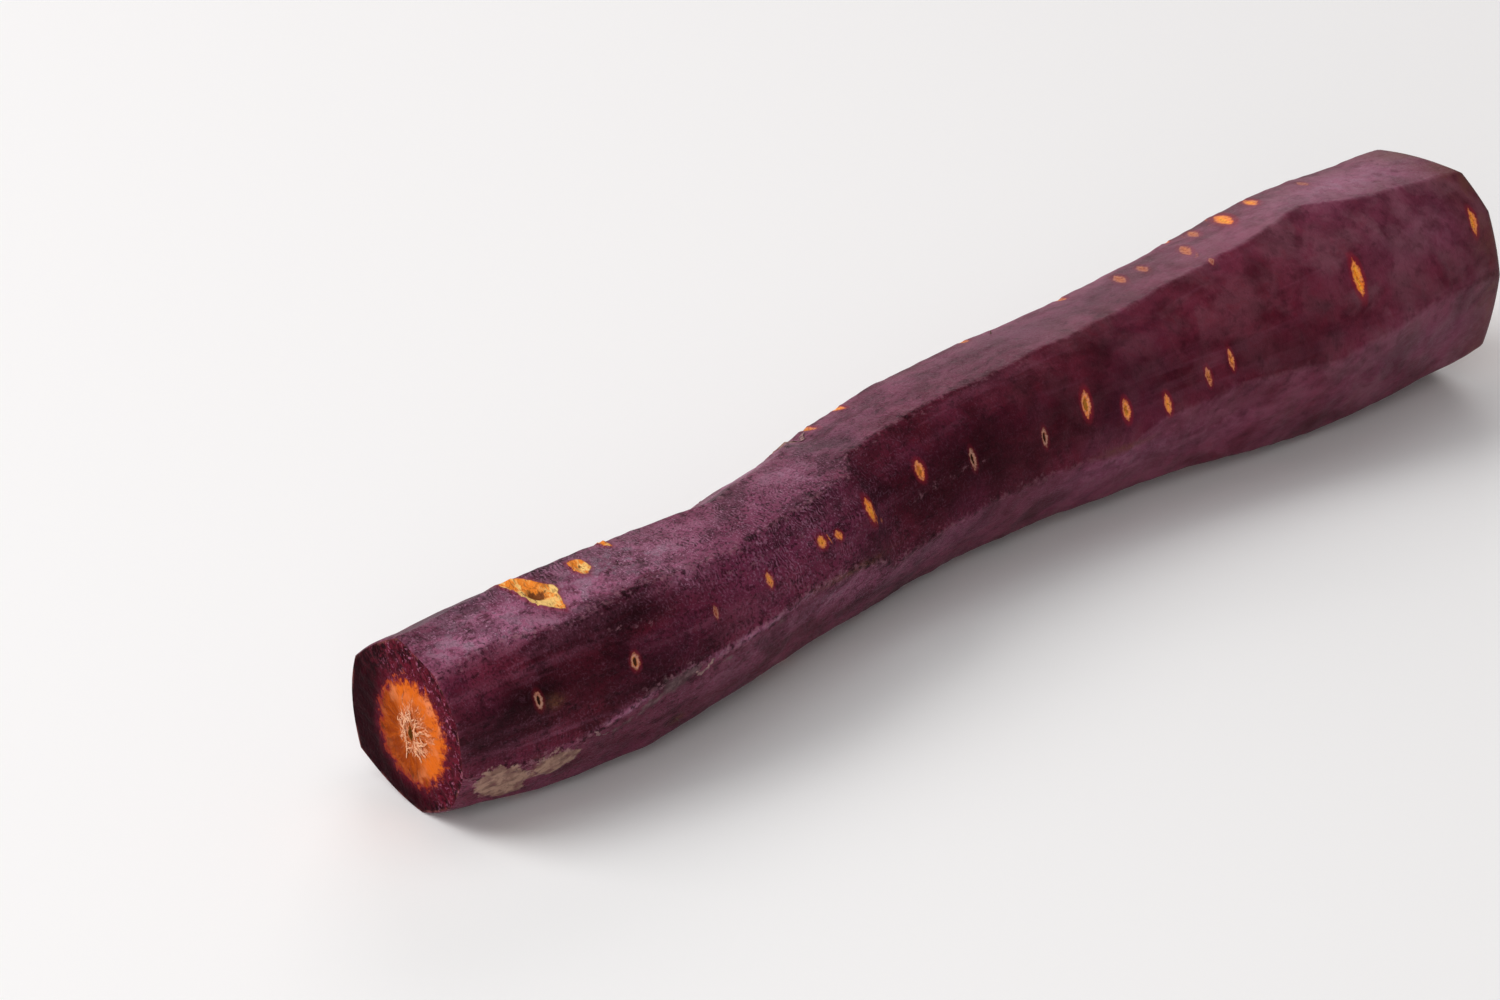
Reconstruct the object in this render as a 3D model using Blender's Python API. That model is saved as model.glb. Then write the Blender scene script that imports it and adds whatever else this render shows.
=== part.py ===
# A peeled purple carrot, trimmed flat at the thin end and at the crown, lying on its side.
# +X runs from the cut thin end to the crown, -Y is the front, +Z is up.
# It rests on z = 0, and the origin is the middle of its box at that height.

import bpy
import numpy as np

# Driving dimensions, in mm
ROOT_LENGTH = 181.0
THIN_END_RADIUS = 10.7
NECK_RADIUS = 11.5
CROWN_RADIUS = 16.6
SIDE_BEND = 5.1
CROWN_RIM_ROUND = 1.6
THIN_RIM_ROUND = 0.35
RIM_DRAW_IN = 0.55
SCAR_DEPTH = 0.45

# How the mesh is divided
RING_SPACING = 3.4
CLEAR_SPACING = 0.95
STEPS_PER_STROKE = 9
METRES = 0.001

# The middle line and girth: share of the length, sideways and height of the middle, radius, in mm
MIDDLE_LINE = [
    (0.000, 0.0, 10.9, THIN_END_RADIUS),
    (0.066, -0.7, 11.4, 11.8),
    (0.138, -1.8, 11.8, 12.2),
    (0.221, -1.7, 11.9, 11.9),
    (0.304, 0.6, 11.95, NECK_RADIUS),
    (0.387, 3.1, 12.3, 11.6),
    (0.470, 4.8, 13.1, 12.3),
    (0.552, SIDE_BEND, 13.4, 12.8),
    (0.635, 4.6, 13.5, 13.3),
    (0.718, 3.5, 14.1, 14.4),
    (0.790, 2.1, 15.0, 15.7),
    (0.867, 0.8, 15.8, CROWN_RADIUS),
    (0.939, 0.1, 16.0, 16.4),
    (1.000, 0.0, 16.1, 16.1),
]

# The edges where two peeled strokes meet, in order round the root. Each row gives the place along
# the root in mm, the turn from the top towards the front in degrees, and how far the edge stands
# out from the girth in mm. The strokes of the thin end stop at about 67 mm, where the next ones begin.
STROKE_EDGES = {
    "top": [(0, -7, 1.9), (8, -9, 1.2), (22, -13, 1.1), (31, -18, 0.5), (37, -24, 0.4), (48, -9, 0.5),
            (64, -17, 0.5), (67, -24, 0.5), (70, -41, 0.1), (110, -42, 0.0), (145, -39, -0.3),
            (158, -38, 0.1), (181, -28, 0.2)],
    "top front": [(0, 30, 1.5), (8, 25, 0.8), (19, 33, 0.5), (27, 27, 0.5), (40, 31, 0.5), (67, 28, 0.6),
                  (69, 15, 0.2), (94, 19, 0.3), (123, 15, 0.4), (145, 12, 0.5), (154, 6, 0.5),
                  (160, 16, 0.7), (181, 24, 0.9)],
    "front": [(0, 60, 0.5), (14, 66, 0.2), (30, 54, 0.3), (48, 60, 0.2), (65.5, 58, 0.5), (67.5, 44, -0.1),
              (90, 42, 0.1), (118, 47, 0.2), (150, 43, 0.3), (181, 47, 0.5)],
    "low front": [(0, 99, -0.4), (10, 102, 0.1), (18, 97, 0.3), (27, 82, 0.4), (41, 80, 0.5), (50, 75, 0.5),
                  (59, 79, 0.5), (65, 87, 0.5), (68, 98, 0.2), (74, 92, 0.4), (90, 90, 0.4), (104, 91, 0.4),
                  (112, 96, 0.4), (118, 83, 0.5), (135, 80, 0.5), (148, 87, 0.5), (160, 79, 0.6),
                  (168, 76, 0.5), (181, 81, -0.8)],
    "under front": [(0, 134, -0.6), (14, 141, 0.3), (28, 136, 0.1), (38, 133, -0.6), (55, 132, -0.6),
                    (66, 140, 0.0), (69, 148, 0.2), (100, 141, 0.0), (128, 136, 0.1), (150, 144, 0.3),
                    (168, 136, -0.4), (181, 123, -0.2)],
    "under": [(0, 177, 0.2), (22, 184, 0.4), (60, 178, 0.2), (96, 186, 0.2), (99, 175, 0.1),
              (140, 183, 0.4), (181, 180, 0.7)],
    "under back": [(0, 237, 3.5), (12, 235, 1.4), (34, 228, 0.5), (37, 240, 0.3), (80, 234, 0.5),
                   (112, 226, 0.5), (115, 238, 0.3), (152, 232, 0.5), (181, 230, 0.6)],
    "back": [(0, 296, 1.8), (20, 290, 0.5), (52, 284, 0.5), (55, 297, 0.3), (90, 279, 0.5),
             (124, 276, 0.5), (127, 286, 0.3), (160, 280, 0.6), (181, 283, 0.6)],
}

# How round each stroke is across its width, from the edge of that name: 0 is flat, 1 is the full girth
STROKE_ROUND = {
    "top": 0.30, "top front": 0.45, "front": 0.40, "low front": 0.30,
    "under front": 0.40, "under": 0.40, "under back": 0.70, "back": 0.30,
}

# The broad scar of a side root on the upper side: place along in mm, turn in degrees, half sizes in mm
SCAR_PLACE = 17.8
SCAR_TURN = 0.0
SCAR_HALF_LENGTH = 2.4
SCAR_HALF_WIDTH = 2.9

SKIN_COLOUR = (0.085, 0.022, 0.045, 1.0)
FLESH_COLOUR = (0.80, 0.22, 0.03, 1.0)


def clear_scene():
    for item in list(bpy.data.objects):
        bpy.data.objects.remove(item, do_unlink=True)


def smooth_through(places, values, at):
    """A smooth curve through the given values, read at the places in at."""
    slopes = np.gradient(values, places)
    left = np.clip(np.searchsorted(places, at, side="right") - 1, 0, len(places) - 2)
    width = places[left + 1] - places[left]
    t = (at - places[left]) / width
    return (
        (2 * t**3 - 3 * t**2 + 1) * values[left]
        + (t**3 - 2 * t**2 + t) * width * slopes[left]
        + (3 * t**2 - 2 * t**3) * values[left + 1]
        + (t**3 - t**2) * width * slopes[left + 1]
    )


def ring_places():
    """Places of the rings along the root: even, and closer at the rims, the scar and the stroke ends."""
    even = np.arange(RING_SPACING, ROOT_LENGTH - RING_SPACING / 2, RING_SPACING)
    crown_rim = ROOT_LENGTH - CROWN_RIM_ROUND * np.array([1.0, 0.35, 0.0])
    rims = [0.0, THIN_RIM_ROUND, *crown_rim]
    scar = SCAR_PLACE + SCAR_HALF_LENGTH * np.array([-1.0, -0.5, 0.0, 0.5, 1.0])
    stroke_ends = [65.5, 66.5, 67.5, 69.0, 70.0, 152.0, 154.0, 156.0]
    near_extra = np.concatenate([rims, scar, stroke_ends])
    clear = [place for place in even if np.abs(near_extra - place).min() > CLEAR_SPACING]
    return np.sort(np.concatenate([clear, near_extra]))


def middle_at(places):
    """Points, directions and radii of the middle line at the given places, in mm."""
    rows = np.array(MIDDLE_LINE)
    stations = rows[:, 0] * ROOT_LENGTH
    side, height, radius = (smooth_through(stations, rows[:, column], places) for column in (1, 2, 3))
    points = np.stack([places, side, height], axis=1)
    step = 0.5
    ahead = np.stack([smooth_through(stations, rows[:, column], places + step) for column in (1, 2)], axis=1)
    behind = np.stack([smooth_through(stations, rows[:, column], places - step) for column in (1, 2)], axis=1)
    rise = (ahead - behind) / (2 * step)
    directions = np.stack([np.ones(len(places)), rise[:, 0], rise[:, 1]], axis=1)
    directions /= np.linalg.norm(directions, axis=1)[:, None]
    return points, directions, radius


def edges_at(place, girth):
    """Turns in radians and radii in mm of the eight stroke edges at one place along the root."""
    turns = []
    radii = []
    for rows in STROKE_EDGES.values():
        along, turn, lift = np.array(rows, dtype=float).T
        turns.append(np.radians(np.interp(place, along, turn)))
        radii.append(girth + np.interp(place, along, lift))
    return turns, radii


def scar_dent(place, turn, radius):
    """How deep the scar's shallow bowl is at a point of the surface, in mm."""
    off_along = (place - SCAR_PLACE) / SCAR_HALF_LENGTH
    off_round = radius * (turn - np.radians(SCAR_TURN)) / SCAR_HALF_WIDTH
    return SCAR_DEPTH * np.exp(-2.0 * (off_along**2 + off_round**2))


def rim_rounding(place):
    """How far the surface draws in at the two rims, in mm."""
    draw_in = 0.0
    for rim, size in ((0.0, THIN_RIM_ROUND), (ROOT_LENGTH, CROWN_RIM_ROUND)):
        reach = max(0.0, 1.0 - abs(place - rim) / size)
        draw_in += size * RIM_DRAW_IN * (1.0 - np.sqrt(1.0 - reach**2))
    return draw_in


def section(place, girth):
    """Turns and radii of the points of one ring: a nearly flat stroke from each edge to the next."""
    turns, radii = edges_at(place, girth)
    roundness = list(STROKE_ROUND.values())
    count = len(turns)
    ring_turns = []
    ring_radii = []
    for k in range(count):
        start, start_radius = turns[k], radii[k]
        end_radius = radii[(k + 1) % count]
        end = turns[(k + 1) % count] + (2 * np.pi if k == count - 1 else 0.0)
        for step in range(STEPS_PER_STROKE):
            share = step / STEPS_PER_STROKE
            turn = start + share * (end - start)
            chord = start_radius * end_radius * np.sin(end - start) / (
                start_radius * np.sin(turn - start) + end_radius * np.sin(end - turn))
            arc = start_radius + share * (end_radius - start_radius)
            radius = chord + roundness[k] * (arc - chord)
            ring_turns.append(turn)
            ring_radii.append(radius - scar_dent(place, turn, radius) - rim_rounding(place))
    return np.array(ring_turns), np.array(ring_radii)


def root_points():
    """Every ring of the root as points in mm, with what would sink below the table pressed flat on it."""
    places = ring_places()
    middles, directions, girths = middle_at(places)
    rings = []
    for place, middle, direction, girth in zip(places, middles, directions, girths):
        up = np.array([0.0, 0.0, 1.0]) - direction * direction[2]
        up /= np.linalg.norm(up)
        front = np.cross(direction, up)
        turns, radii = section(place, girth)
        ring = middle + radii[:, None] * (np.cos(turns)[:, None] * up + np.sin(turns)[:, None] * front)
        ring[:, 2] = np.maximum(ring[:, 2], 0.0)
        rings.append(ring)
    points = np.array(rings)
    box_middle = (points.reshape(-1, 3).min(axis=0) + points.reshape(-1, 3).max(axis=0)) / 2
    points[:, :, 0] -= box_middle[0]
    points[:, :, 1] -= box_middle[1]
    return points


def material(name, colour, roughness):
    made = bpy.data.materials.new(name)
    made.use_nodes = True
    shader = made.node_tree.nodes["Principled BSDF"]
    shader.inputs["Base Color"].default_value = colour
    shader.inputs["Roughness"].default_value = roughness
    shader.inputs["Metallic"].default_value = 0.0
    return made


def carrot():
    """The whole root as one closed solid: rings joined by quads, and a flat cut face at each end."""
    points = root_points()
    ring_count, ring_size = points.shape[:2]
    faces = []
    for ring in range(ring_count - 1):
        for k in range(ring_size):
            after = (k + 1) % ring_size
            here, ahead = ring * ring_size, (ring + 1) * ring_size
            faces.append((here + k, here + after, ahead + after, ahead + k))
    faces.append(tuple(reversed(range(ring_size))))
    faces.append(tuple((ring_count - 1) * ring_size + k for k in range(ring_size)))

    mesh = bpy.data.meshes.new("carrot")
    mesh.from_pydata([tuple(point) for point in points.reshape(-1, 3) * METRES], [], faces)
    mesh.materials.append(material("peeled skin", SKIN_COLOUR, 0.55))
    mesh.materials.append(material("cut flesh", FLESH_COLOUR, 0.45))
    for cut_face in (mesh.polygons[-1], mesh.polygons[-2]):
        cut_face.material_index = 1
    mesh.shade_smooth()
    mesh.set_sharp_from_angle(angle=np.radians(16.0))
    root = bpy.data.objects.new("carrot", mesh)
    bpy.context.collection.objects.link(root)
    return root


clear_scene()
carrot()
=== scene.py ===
import math
import random
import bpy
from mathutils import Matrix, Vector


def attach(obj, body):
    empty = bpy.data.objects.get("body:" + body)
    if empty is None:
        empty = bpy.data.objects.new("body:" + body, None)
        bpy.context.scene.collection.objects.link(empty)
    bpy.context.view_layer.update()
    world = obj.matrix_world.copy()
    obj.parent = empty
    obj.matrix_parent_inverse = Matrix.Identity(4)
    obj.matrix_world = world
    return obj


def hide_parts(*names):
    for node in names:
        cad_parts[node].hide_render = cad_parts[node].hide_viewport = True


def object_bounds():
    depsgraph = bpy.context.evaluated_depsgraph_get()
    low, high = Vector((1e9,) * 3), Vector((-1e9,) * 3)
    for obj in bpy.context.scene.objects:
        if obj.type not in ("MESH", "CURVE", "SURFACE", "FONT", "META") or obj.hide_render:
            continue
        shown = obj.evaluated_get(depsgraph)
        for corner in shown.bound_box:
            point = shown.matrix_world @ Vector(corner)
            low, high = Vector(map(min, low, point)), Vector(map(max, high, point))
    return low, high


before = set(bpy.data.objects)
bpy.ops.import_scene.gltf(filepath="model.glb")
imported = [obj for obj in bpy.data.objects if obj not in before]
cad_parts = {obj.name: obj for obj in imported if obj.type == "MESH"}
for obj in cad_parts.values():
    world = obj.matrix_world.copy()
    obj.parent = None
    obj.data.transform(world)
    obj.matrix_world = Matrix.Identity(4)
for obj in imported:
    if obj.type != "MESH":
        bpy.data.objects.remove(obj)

from types import SimpleNamespace

import bpy
import numpy as np
from mathutils import Vector, noise

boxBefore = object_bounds()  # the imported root's own box
print("frame loaded, root box", boxBefore)

mm = 0.001

# The root's form, the same driving sizes as the solid it is drawn over, in mm and degrees
rootShape = {
    "length": 181.0,
    "crownRimRound": 1.6,
    "thinRimRound": 0.35,
    "rimDrawIn": 0.55,
    "cornerSoft": 0.5,          # how far a stroke edge's corners are rounded along the root
    # how the stroke edges waver, in degrees and mm, and how far from the rims they stay calm
    "edgeWander": {"turn": 1.6, "lift": 0.16, "size": 6.0, "calm": 4.0},
    "ringCount": 412,
    "stepsPerStroke": 25,
    "girthPerTurn": 13.0,       # radius of the straightened root that the surface patterns use
    # share of the length, sideways and height of the middle, radius
    "middleLine": [
        (0.000, 0.0, 10.9, 10.7), (0.066, -0.7, 11.4, 11.8), (0.138, -1.8, 11.8, 12.2),
        (0.221, -1.7, 11.9, 11.9), (0.304, 0.6, 11.95, 11.5), (0.387, 3.1, 12.3, 11.6),
        (0.470, 4.8, 13.1, 12.3), (0.552, 5.1, 13.4, 12.8), (0.635, 4.6, 13.5, 13.3),
        (0.718, 3.5, 14.1, 14.4), (0.790, 2.1, 15.0, 15.7), (0.867, 0.8, 15.8, 16.6),
        (0.939, 0.1, 16.0, 16.4), (1.000, 0.0, 16.1, 16.1),
    ],
}

# Edges between peeled strokes, in order round the root: along in mm, turn in degrees, stand-out in mm
strokeEdges = {
    "top": [(0, -7, 1.9), (8, -9, 1.2), (22, -13, 1.1), (31, -18, 0.5), (37, -24, 0.4), (48, -9, 0.5),
            (64, -17, 0.5), (67, -24, 0.5), (70, -41, 0.1), (110, -42, 0.0), (145, -39, -0.3),
            (158, -38, 0.1), (181, -28, 0.2)],
    "top front": [(0, 30, 1.5), (8, 25, 0.8), (19, 33, 0.5), (27, 27, 0.5), (40, 31, 0.5), (67, 28, 0.6),
                  (69, 15, 0.2), (94, 19, 0.3), (123, 15, 0.4), (145, 12, 0.5), (154, 6, 0.5),
                  (160, 16, 0.7), (181, 24, 0.9)],
    "front": [(0, 60, 0.5), (14, 66, 0.2), (30, 54, 0.3), (48, 60, 0.2), (65.5, 58, 0.5), (67.5, 44, -0.1),
              (90, 42, 0.1), (118, 47, 0.2), (150, 43, 0.3), (181, 47, 0.5)],
    "low front": [(0, 99, -0.4), (10, 102, 0.1), (18, 97, 0.3), (27, 82, 0.4), (41, 80, 0.5), (50, 75, 0.5),
                  (59, 79, 0.5), (65, 87, 0.5), (68, 98, 0.2), (74, 92, 0.4), (90, 90, 0.4), (104, 91, 0.4),
                  (112, 96, 0.4), (118, 83, 0.5), (135, 80, 0.5), (148, 87, 0.5), (160, 79, 0.6),
                  (168, 76, 0.5), (181, 81, -0.8)],
    "under front": [(0, 134, -0.6), (14, 141, 0.3), (28, 136, 0.1), (38, 133, -0.6), (55, 132, -0.6),
                    (66, 140, 0.0), (69, 148, 0.2), (100, 141, 0.0), (128, 136, 0.1), (150, 144, 0.3),
                    (168, 136, -0.4), (181, 123, -0.2)],
    "under": [(0, 177, 0.2), (22, 184, 0.4), (60, 178, 0.2), (96, 186, 0.2), (99, 175, 0.1),
              (140, 183, 0.4), (181, 180, 0.7)],
    "under back": [(0, 237, 3.5), (12, 235, 1.4), (34, 228, 0.5), (37, 240, 0.3), (80, 234, 0.5),
                   (112, 226, 0.5), (115, 238, 0.3), (152, 232, 0.5), (181, 230, 0.6)],
    "back": [(0, 296, 1.8), (20, 290, 0.5), (52, 284, 0.5), (55, 297, 0.3), (90, 279, 0.5),
             (124, 276, 0.5), (127, 286, 0.3), (160, 280, 0.6), (181, 283, 0.6)],
}
strokeRound = [0.30, 0.45, 0.40, 0.30, 0.40, 0.40, 0.70, 0.30]   # 0 is flat across, 1 the full girth
# each edge's pale line is a painted highlight along the ridge
edgeShow = [0.8, 1.0, 0.15, 1.0, 0.6, 0.4, 0.6, 0.6]             # how pale each edge's line is

# Scars of side roots: along, turn, half length round the root, half width along it, lean in degrees,
# vivid 0 to 1, open hole 0 to 1
rootScars = [
    (148, 335.5, 3.8, 1.15, 22, 0.95, 0), (154, 331.7, 2.8, 0.82, 22, 0.75, 0),
    (143.2, 331.5, 2.3, 0.75, 22, 0.28, 0), (138.1, 349.2, 2.4, 0.75, 22, 0.28, 0),
    (131.6, 342.4, 2.3, 0.75, 22, 0.22, 0), (127.8, 340.2, 2.4, 0.8, 22, 0.26, 0),
    (162.4, 336.8, 1.5, 0.6, 12, 0.08, 0), (137.3, 13, 0.8, 0.42, 20, 0.1, 0),
    (154.4, 52.5, 2.75, 0.78, 4, 1, 0), (176.7, 48.5, 1.95, 0.75, 6, 0.8, 0),
    (132, 66, 1.5, 0.5, 2, 0.6, 0), (127.7, 70, 1.35, 0.55, 2, 0.45, 0.3),
    (120.2, 76, 1.5, 0.62, 0, 0.7, 0.1), (113.4, 71, 1.6, 0.7, 0, 0.85, 0.4),
    (107.1, 59, 1.95, 0.8, 8, 0.85, 0.5), (98.8, 68, 1.4, 0.5, 6, 0.2, 0.9),
    (86, 61, 1.5, 0.6, 8, 0.2, 0.9), (76.9, 50, 1.4, 0.82, 6, 0.75, 0.35),
    (65.6, 54, 1.8, 0.82, 10, 0.9, 0), (58.6, 56, 0.7, 0.6, 0, 0.75, 0.2),
    (55.8, 54, 0.9, 0.78, 8, 0.8, 0.2), (45, 56.5, 1.05, 0.58, 10, 0.6, 0),
    (36.2, 58, 0.95, 0.38, 6, 0.15, 0), (24.1, 65, 1.1, 0.6, 4, 0.5, 0.7),
    (10.8, 65, 1.2, 0.6, 0, 0.2, 0.9), (67.4, 64, 0.35, 0.3, 0, 0.2, 0),
]
# Rows of scars on the sides that the photograph doesn't show, drawn between these limits
hiddenScars = {"rows": (166.0, 244.0, 312.0), "turnSpread": 9, "firstAt": (9.0, 14.0), "lastAt": 174.0,
               "spacing": (3.8, 15.2), "halfRound": (0.7, 2.2), "halfAlong": (0.4, 0.7), "lean": (-6, 8),
               "vivid": (0.2, 0.95), "holes": (0.0, 0.0, 0.3, 0.8), "seed": 41}

# Marks on the skin by kind: along, turn, half length along, half width round in mm, lean, strength
skinMarks = {
    "tan": [
        (68.3, 326, 2.3, 1.1, 0, 0.9), (104, 268, 4.4, 2.6, 8, 1.3), (147, 205, 4, 2.4, -6, 1.2),
    ],
    "grey": [
        (38, 214, 5, 2.6, 4, 1.2),
    ],
    "violet": [
        (53, 34, 15, 8.5, 0, 1.1), (34, 22, 9, 4, 0, 0.6), (70, 110, 12, 5, 0, 0.6),
        (112, 106, 18, 5, 0, 0.4), (92, 250, 20, 8, 0, 0.6), (22, 357, 24, 5, 0, 0.9),
        (100, 345, 50, 6, 0, 0.25), (166, 356, 18, 6, 0, 0.7), (166, 40, 17, 8, 0, 0.15),
        (168, 100, 16, 6, 0, 0.4),
    ],
    "dark": [
        (26, 112, 16, 4, 0, 0.55), (90, 104, 14, 3.4, 0, 0.35), (7, 65, 7, 3.6, 0, 1.1),
        (17, 60, 8, 3.6, 0, 0.8), (2.5, 84, 3.2, 3.6, 0, 0.5), (28, 72, 9, 4.6, 0, 0.8),
        (84, 62, 20, 7, 0, 1), (27, 41, 7, 2.2, 0, 1.1), (27.5, 86, 3, 1, 20, 0.9),
        (105, 358, 24, 5, 0, 0.6), (146, 74, 9, 3.5, 0, 0.45), (116, 56, 14, 6, 0, 0.6),
    ],
    # pale: painted sheen on the top facets and painted light along the low front edge, with a few paler
    # patches
    "pale": [
        (3.5, 16, 4, 3, 0, 0.6), (31, 3, 5, 2.6, 0, 0.7), (10.5, 12, 6, 3.6, 0, 1),
        (23, 89, 7, 0.4, -12, 1.2), (41, 79.5, 10, 0.4, -2, 1.2), (34.5, 36, 3, 1.3, 10, 0.9),
        (14, 27, 7, 1.2, 6, 0.7), (20.8, 17, 2.4, 1.7, 0, 1), (29, 6, 8, 3.8, 0, 1.15),
        (43, 2, 6, 3, 0, 0.2), (60, 2, 6, 3.4, 0, 0.55), (56, 92, 10, 1.6, 0, 0.55),
        (36, 99, 9, 2.2, 0, 0.25), (74, 106, 11, 2.4, 0, 0.3), (116, 104, 16, 3, 0, 0.25),
        (165, 356, 15, 5, 0, 0.4), (168, 45, 10, 4, 0, 0.3), (53, 334, 13, 1.5, 0, 0.8),
        (12, 306, 8, 4, 0, 0.5), (62, 304, 20, 4, 0, 0.4), (134, 306, 22, 4, 0, 0.35),
    ],
    "slate": [
        (9.5, 347, 8, 2.2, 0, 0.95), (22.3, 345, 3.2, 1.8, 0, 1), (36, 336, 8, 2, 0, 0.5),
        (72, 357, 7, 4, 0, 0.4), (112, 345, 30, 4, 0, 0.3), (165, 100, 14, 3.5, 0, 0.3),
        (30, 250, 20, 3, 0, 0.4), (130, 262, 26, 3, 0, 0.35),
    ],
    "umber": [
        (13.1, 69.5, 1.2, 0.75, 0, 1), (58, 80, 7.5, 0.5, 4, 1), (10.2, 108, 1.2, 1.4, 20, 0.9),
        (30.9, 123, 1.2, 0.8, 0, 0.7), (112, 92, 6, 0.5, 3, 0.6), (40, 262, 5, 0.8, 0, 0.7),
        (121, 232, 6, 0.9, 0, 0.7),
    ],
    "gold": [
        (17.9, 14, 1.7, 1.7, 0, 1), (20.4, 7, 0.9, 1.5, 0, 0.8), (16.6, 2, 0.6, 1.6, 0, 0.9),
        (25.4, -1, 1.2, 0.9, 0, 0.9),
    ],
    "red": [
        (28, 49, 8, 1.1, -6, 0.8), (147, 68, 8, 5, 10, 0.7), (168, 62, 8, 6, 0, 0.5),
        (5.5, 40, 5, 3.4, 0, 0.7), (5, 8, 4, 3.4, 0, 0.7), (158, 348, 7, 3.5, 0, 0.5),
        (46, 66, 10, 3, 0, 0.5),
    ],
}
raggedKinds = {"torn": 1.6, "pit": 0.8, "tan": 2.0, "grey": 2.2}   # and the depth in mm at which each is full

# Marks with a given outline: along in mm and turn in degrees, in order round the mark
markOutlines = {
    "torn": [
        [(14.7, -22), (16.2, -12), (17.6, -10.5), (18.9, -5), (19.3, 1), (19.9, 4), (20.6, 8), (19.8, 12),
         (19.9, 17), (19.4, 24), (17.9, 19), (16.7, 14), (16.1, 6), (15.8, -2), (15.1, -12)],
        [(24.2, -8), (25.5, -10), (26.3, -5), (26.0, 2), (25.0, 6), (24.0, 4), (24.0, -2)],
        [(30.2, -21), (30.8, -23), (31.4, -15), (31.2, -12), (30.5, -13)],
    ],
    "pit": [
        [(16.6, 0), (17.7, -1), (18.7, 2), (19.2, 6), (18.5, 10), (17.5, 8), (16.9, 5)],
        [(24.7, -6), (25.3, -4), (25.2, 1), (24.6, -1)],
    ],
    "tan": [
        [(1.4, 108), (2.2, 101), (3.8, 97), (5.3, 97), (7.0, 103), (8.2, 106), (9.4, 115), (8.3, 119),
         (9.1, 133), (5.0, 131), (3.0, 126)],
        [(8.9, 106), (10.5, 102), (12.5, 100.5), (15.4, 103), (16.2, 108), (14.6, 117), (12.3, 121),
         (10.0, 118)],
    ],
    "grey": [
        [(26.9, 81), (27.9, 81), (30.2, 80), (32.6, 83), (30.7, 90), (28.7, 92), (27.4, 93), (23.9, 98),
         (20.6, 102), (22.6, 96), (24.6, 92), (26.2, 88)],
        [(36.0, 87), (40.0, 84), (45.0, 82), (46.0, 84), (41.0, 87), (37.0, 89)],
    ],
}

# Painted shade on the front strokes, which went deeper than the others: how much (0 to 1) along the root, and
# how soft the border is
frontShadeDepth = {
    "at": (0, 12, 26, 40, 62, 68, 100, 140, 160, 181),
    "depth": (0.75, 0.95, 1.0, 0.62, 0.62, 1.0, 1.0, 0.92, 0.70, 0.60),
    "softTop": (1.8, 1.6, 1.6, 3.6, 3.2, 0.7, 0.7, 0.6, 0.5, 0.5),
    "softLow": (1.6, 1.2, 1.0, 1.0, 0.9, 0.6, 0.6, 0.7, 0.5, 0.5),
    "below": 0.34,       # the same for the strokes under these, the border's width in mm,
    "belowSoft": 2.0,    # and the turn in radians at which they end
    "belowTo": 3.7,
}

# Ledges where one pass of the peeler stopped inside a stroke: points as along and turn, height, spread
peelLedges = [
    ([(17, 40), (21, 45), (26, 48), (30, 46), (35, 46)], 0.30, 2.2),
    ([(36, 40), (44, 44), (52, 43), (60, 46)], 0.16, 2.0),
    ([(70, 68), (80, 64), (92, 66)], 0.14, 2.0),
    ([(118, 30), (128, 33), (140, 28)], 0.16, 2.4),
    ([(150, 24), (158, 33), (170, 36)], 0.16, 2.4),
    ([(84, -2), (96, -8), (110, -12)], 0.16, 2.2),
    ([(66, 112), (78, 118), (92, 114)], 0.18, 2.0),
    ([(126, 106), (138, 112), (150, 108)], 0.16, 2.2),
]
ledgeForm = {"stepWidth": 0.22, "bulge": 0.3, "endFade": 4.0, "paleGap": 0.35}
hiddenLedges = {"count": 14, "starts": (4, 150), "turns": (150.0, 318.0), "lengths": (12.0, 30.0),
                "height": (0.12, 0.30), "spread": 2.2, "seed": 23}
softKinds = ("violet", "dark", "red", "pale", "slate", "umber", "gold")


def smoothThrough(places, values, at):
    # a smooth curve through a few given values
    slopes = np.gradient(values, places)
    left = np.clip(np.searchsorted(places, at, side="right") - 1, 0, len(places) - 2)
    width = places[left + 1] - places[left]
    t = (at - places[left]) / width
    return (
        (2 * t**3 - 3 * t**2 + 1) * values[left]
        + (t**3 - 2 * t**2 + t) * width * slopes[left]
        + (3 * t**2 - 2 * t**3) * values[left + 1]
        + (t**3 - t**2) * width * slopes[left + 1]
    )


def noiseAt(points, size, seed=0):
    # one noise value for each point, with features about this size in mm
    shift = Vector((seed * 17.3, seed * -9.1, seed * 5.7))
    return np.array([noise.noise(Vector(p) / size + shift) for p in points])


def middleAt(places):
    rows = np.array(rootShape["middleLine"])
    stations = rows[:, 0] * rootShape["length"]
    side, height, radius = (smoothThrough(stations, rows[:, c], places) for c in (1, 2, 3))
    step = 0.5
    rise = [
        (smoothThrough(stations, rows[:, c], places + step)
         - smoothThrough(stations, rows[:, c], places - step)) / (2 * step) for c in (1, 2)
    ]
    directions = np.stack([np.ones(len(places)), rise[0], rise[1]], axis=1)
    directions /= np.linalg.norm(directions, axis=1)[:, None]
    return np.stack([places, side, height], axis=1), directions, radius


def rimRounding(places):
    drawIn = np.zeros(len(places))
    for rim, size in ((0.0, rootShape["thinRimRound"]), (rootShape["length"], rootShape["crownRimRound"])):
        reach = np.clip(1.0 - np.abs(places - rim) / size, 0.0, 1.0)
        drawIn += size * rootShape["rimDrawIn"] * (1.0 - np.sqrt(1.0 - reach**2))
    return drawIn


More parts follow.
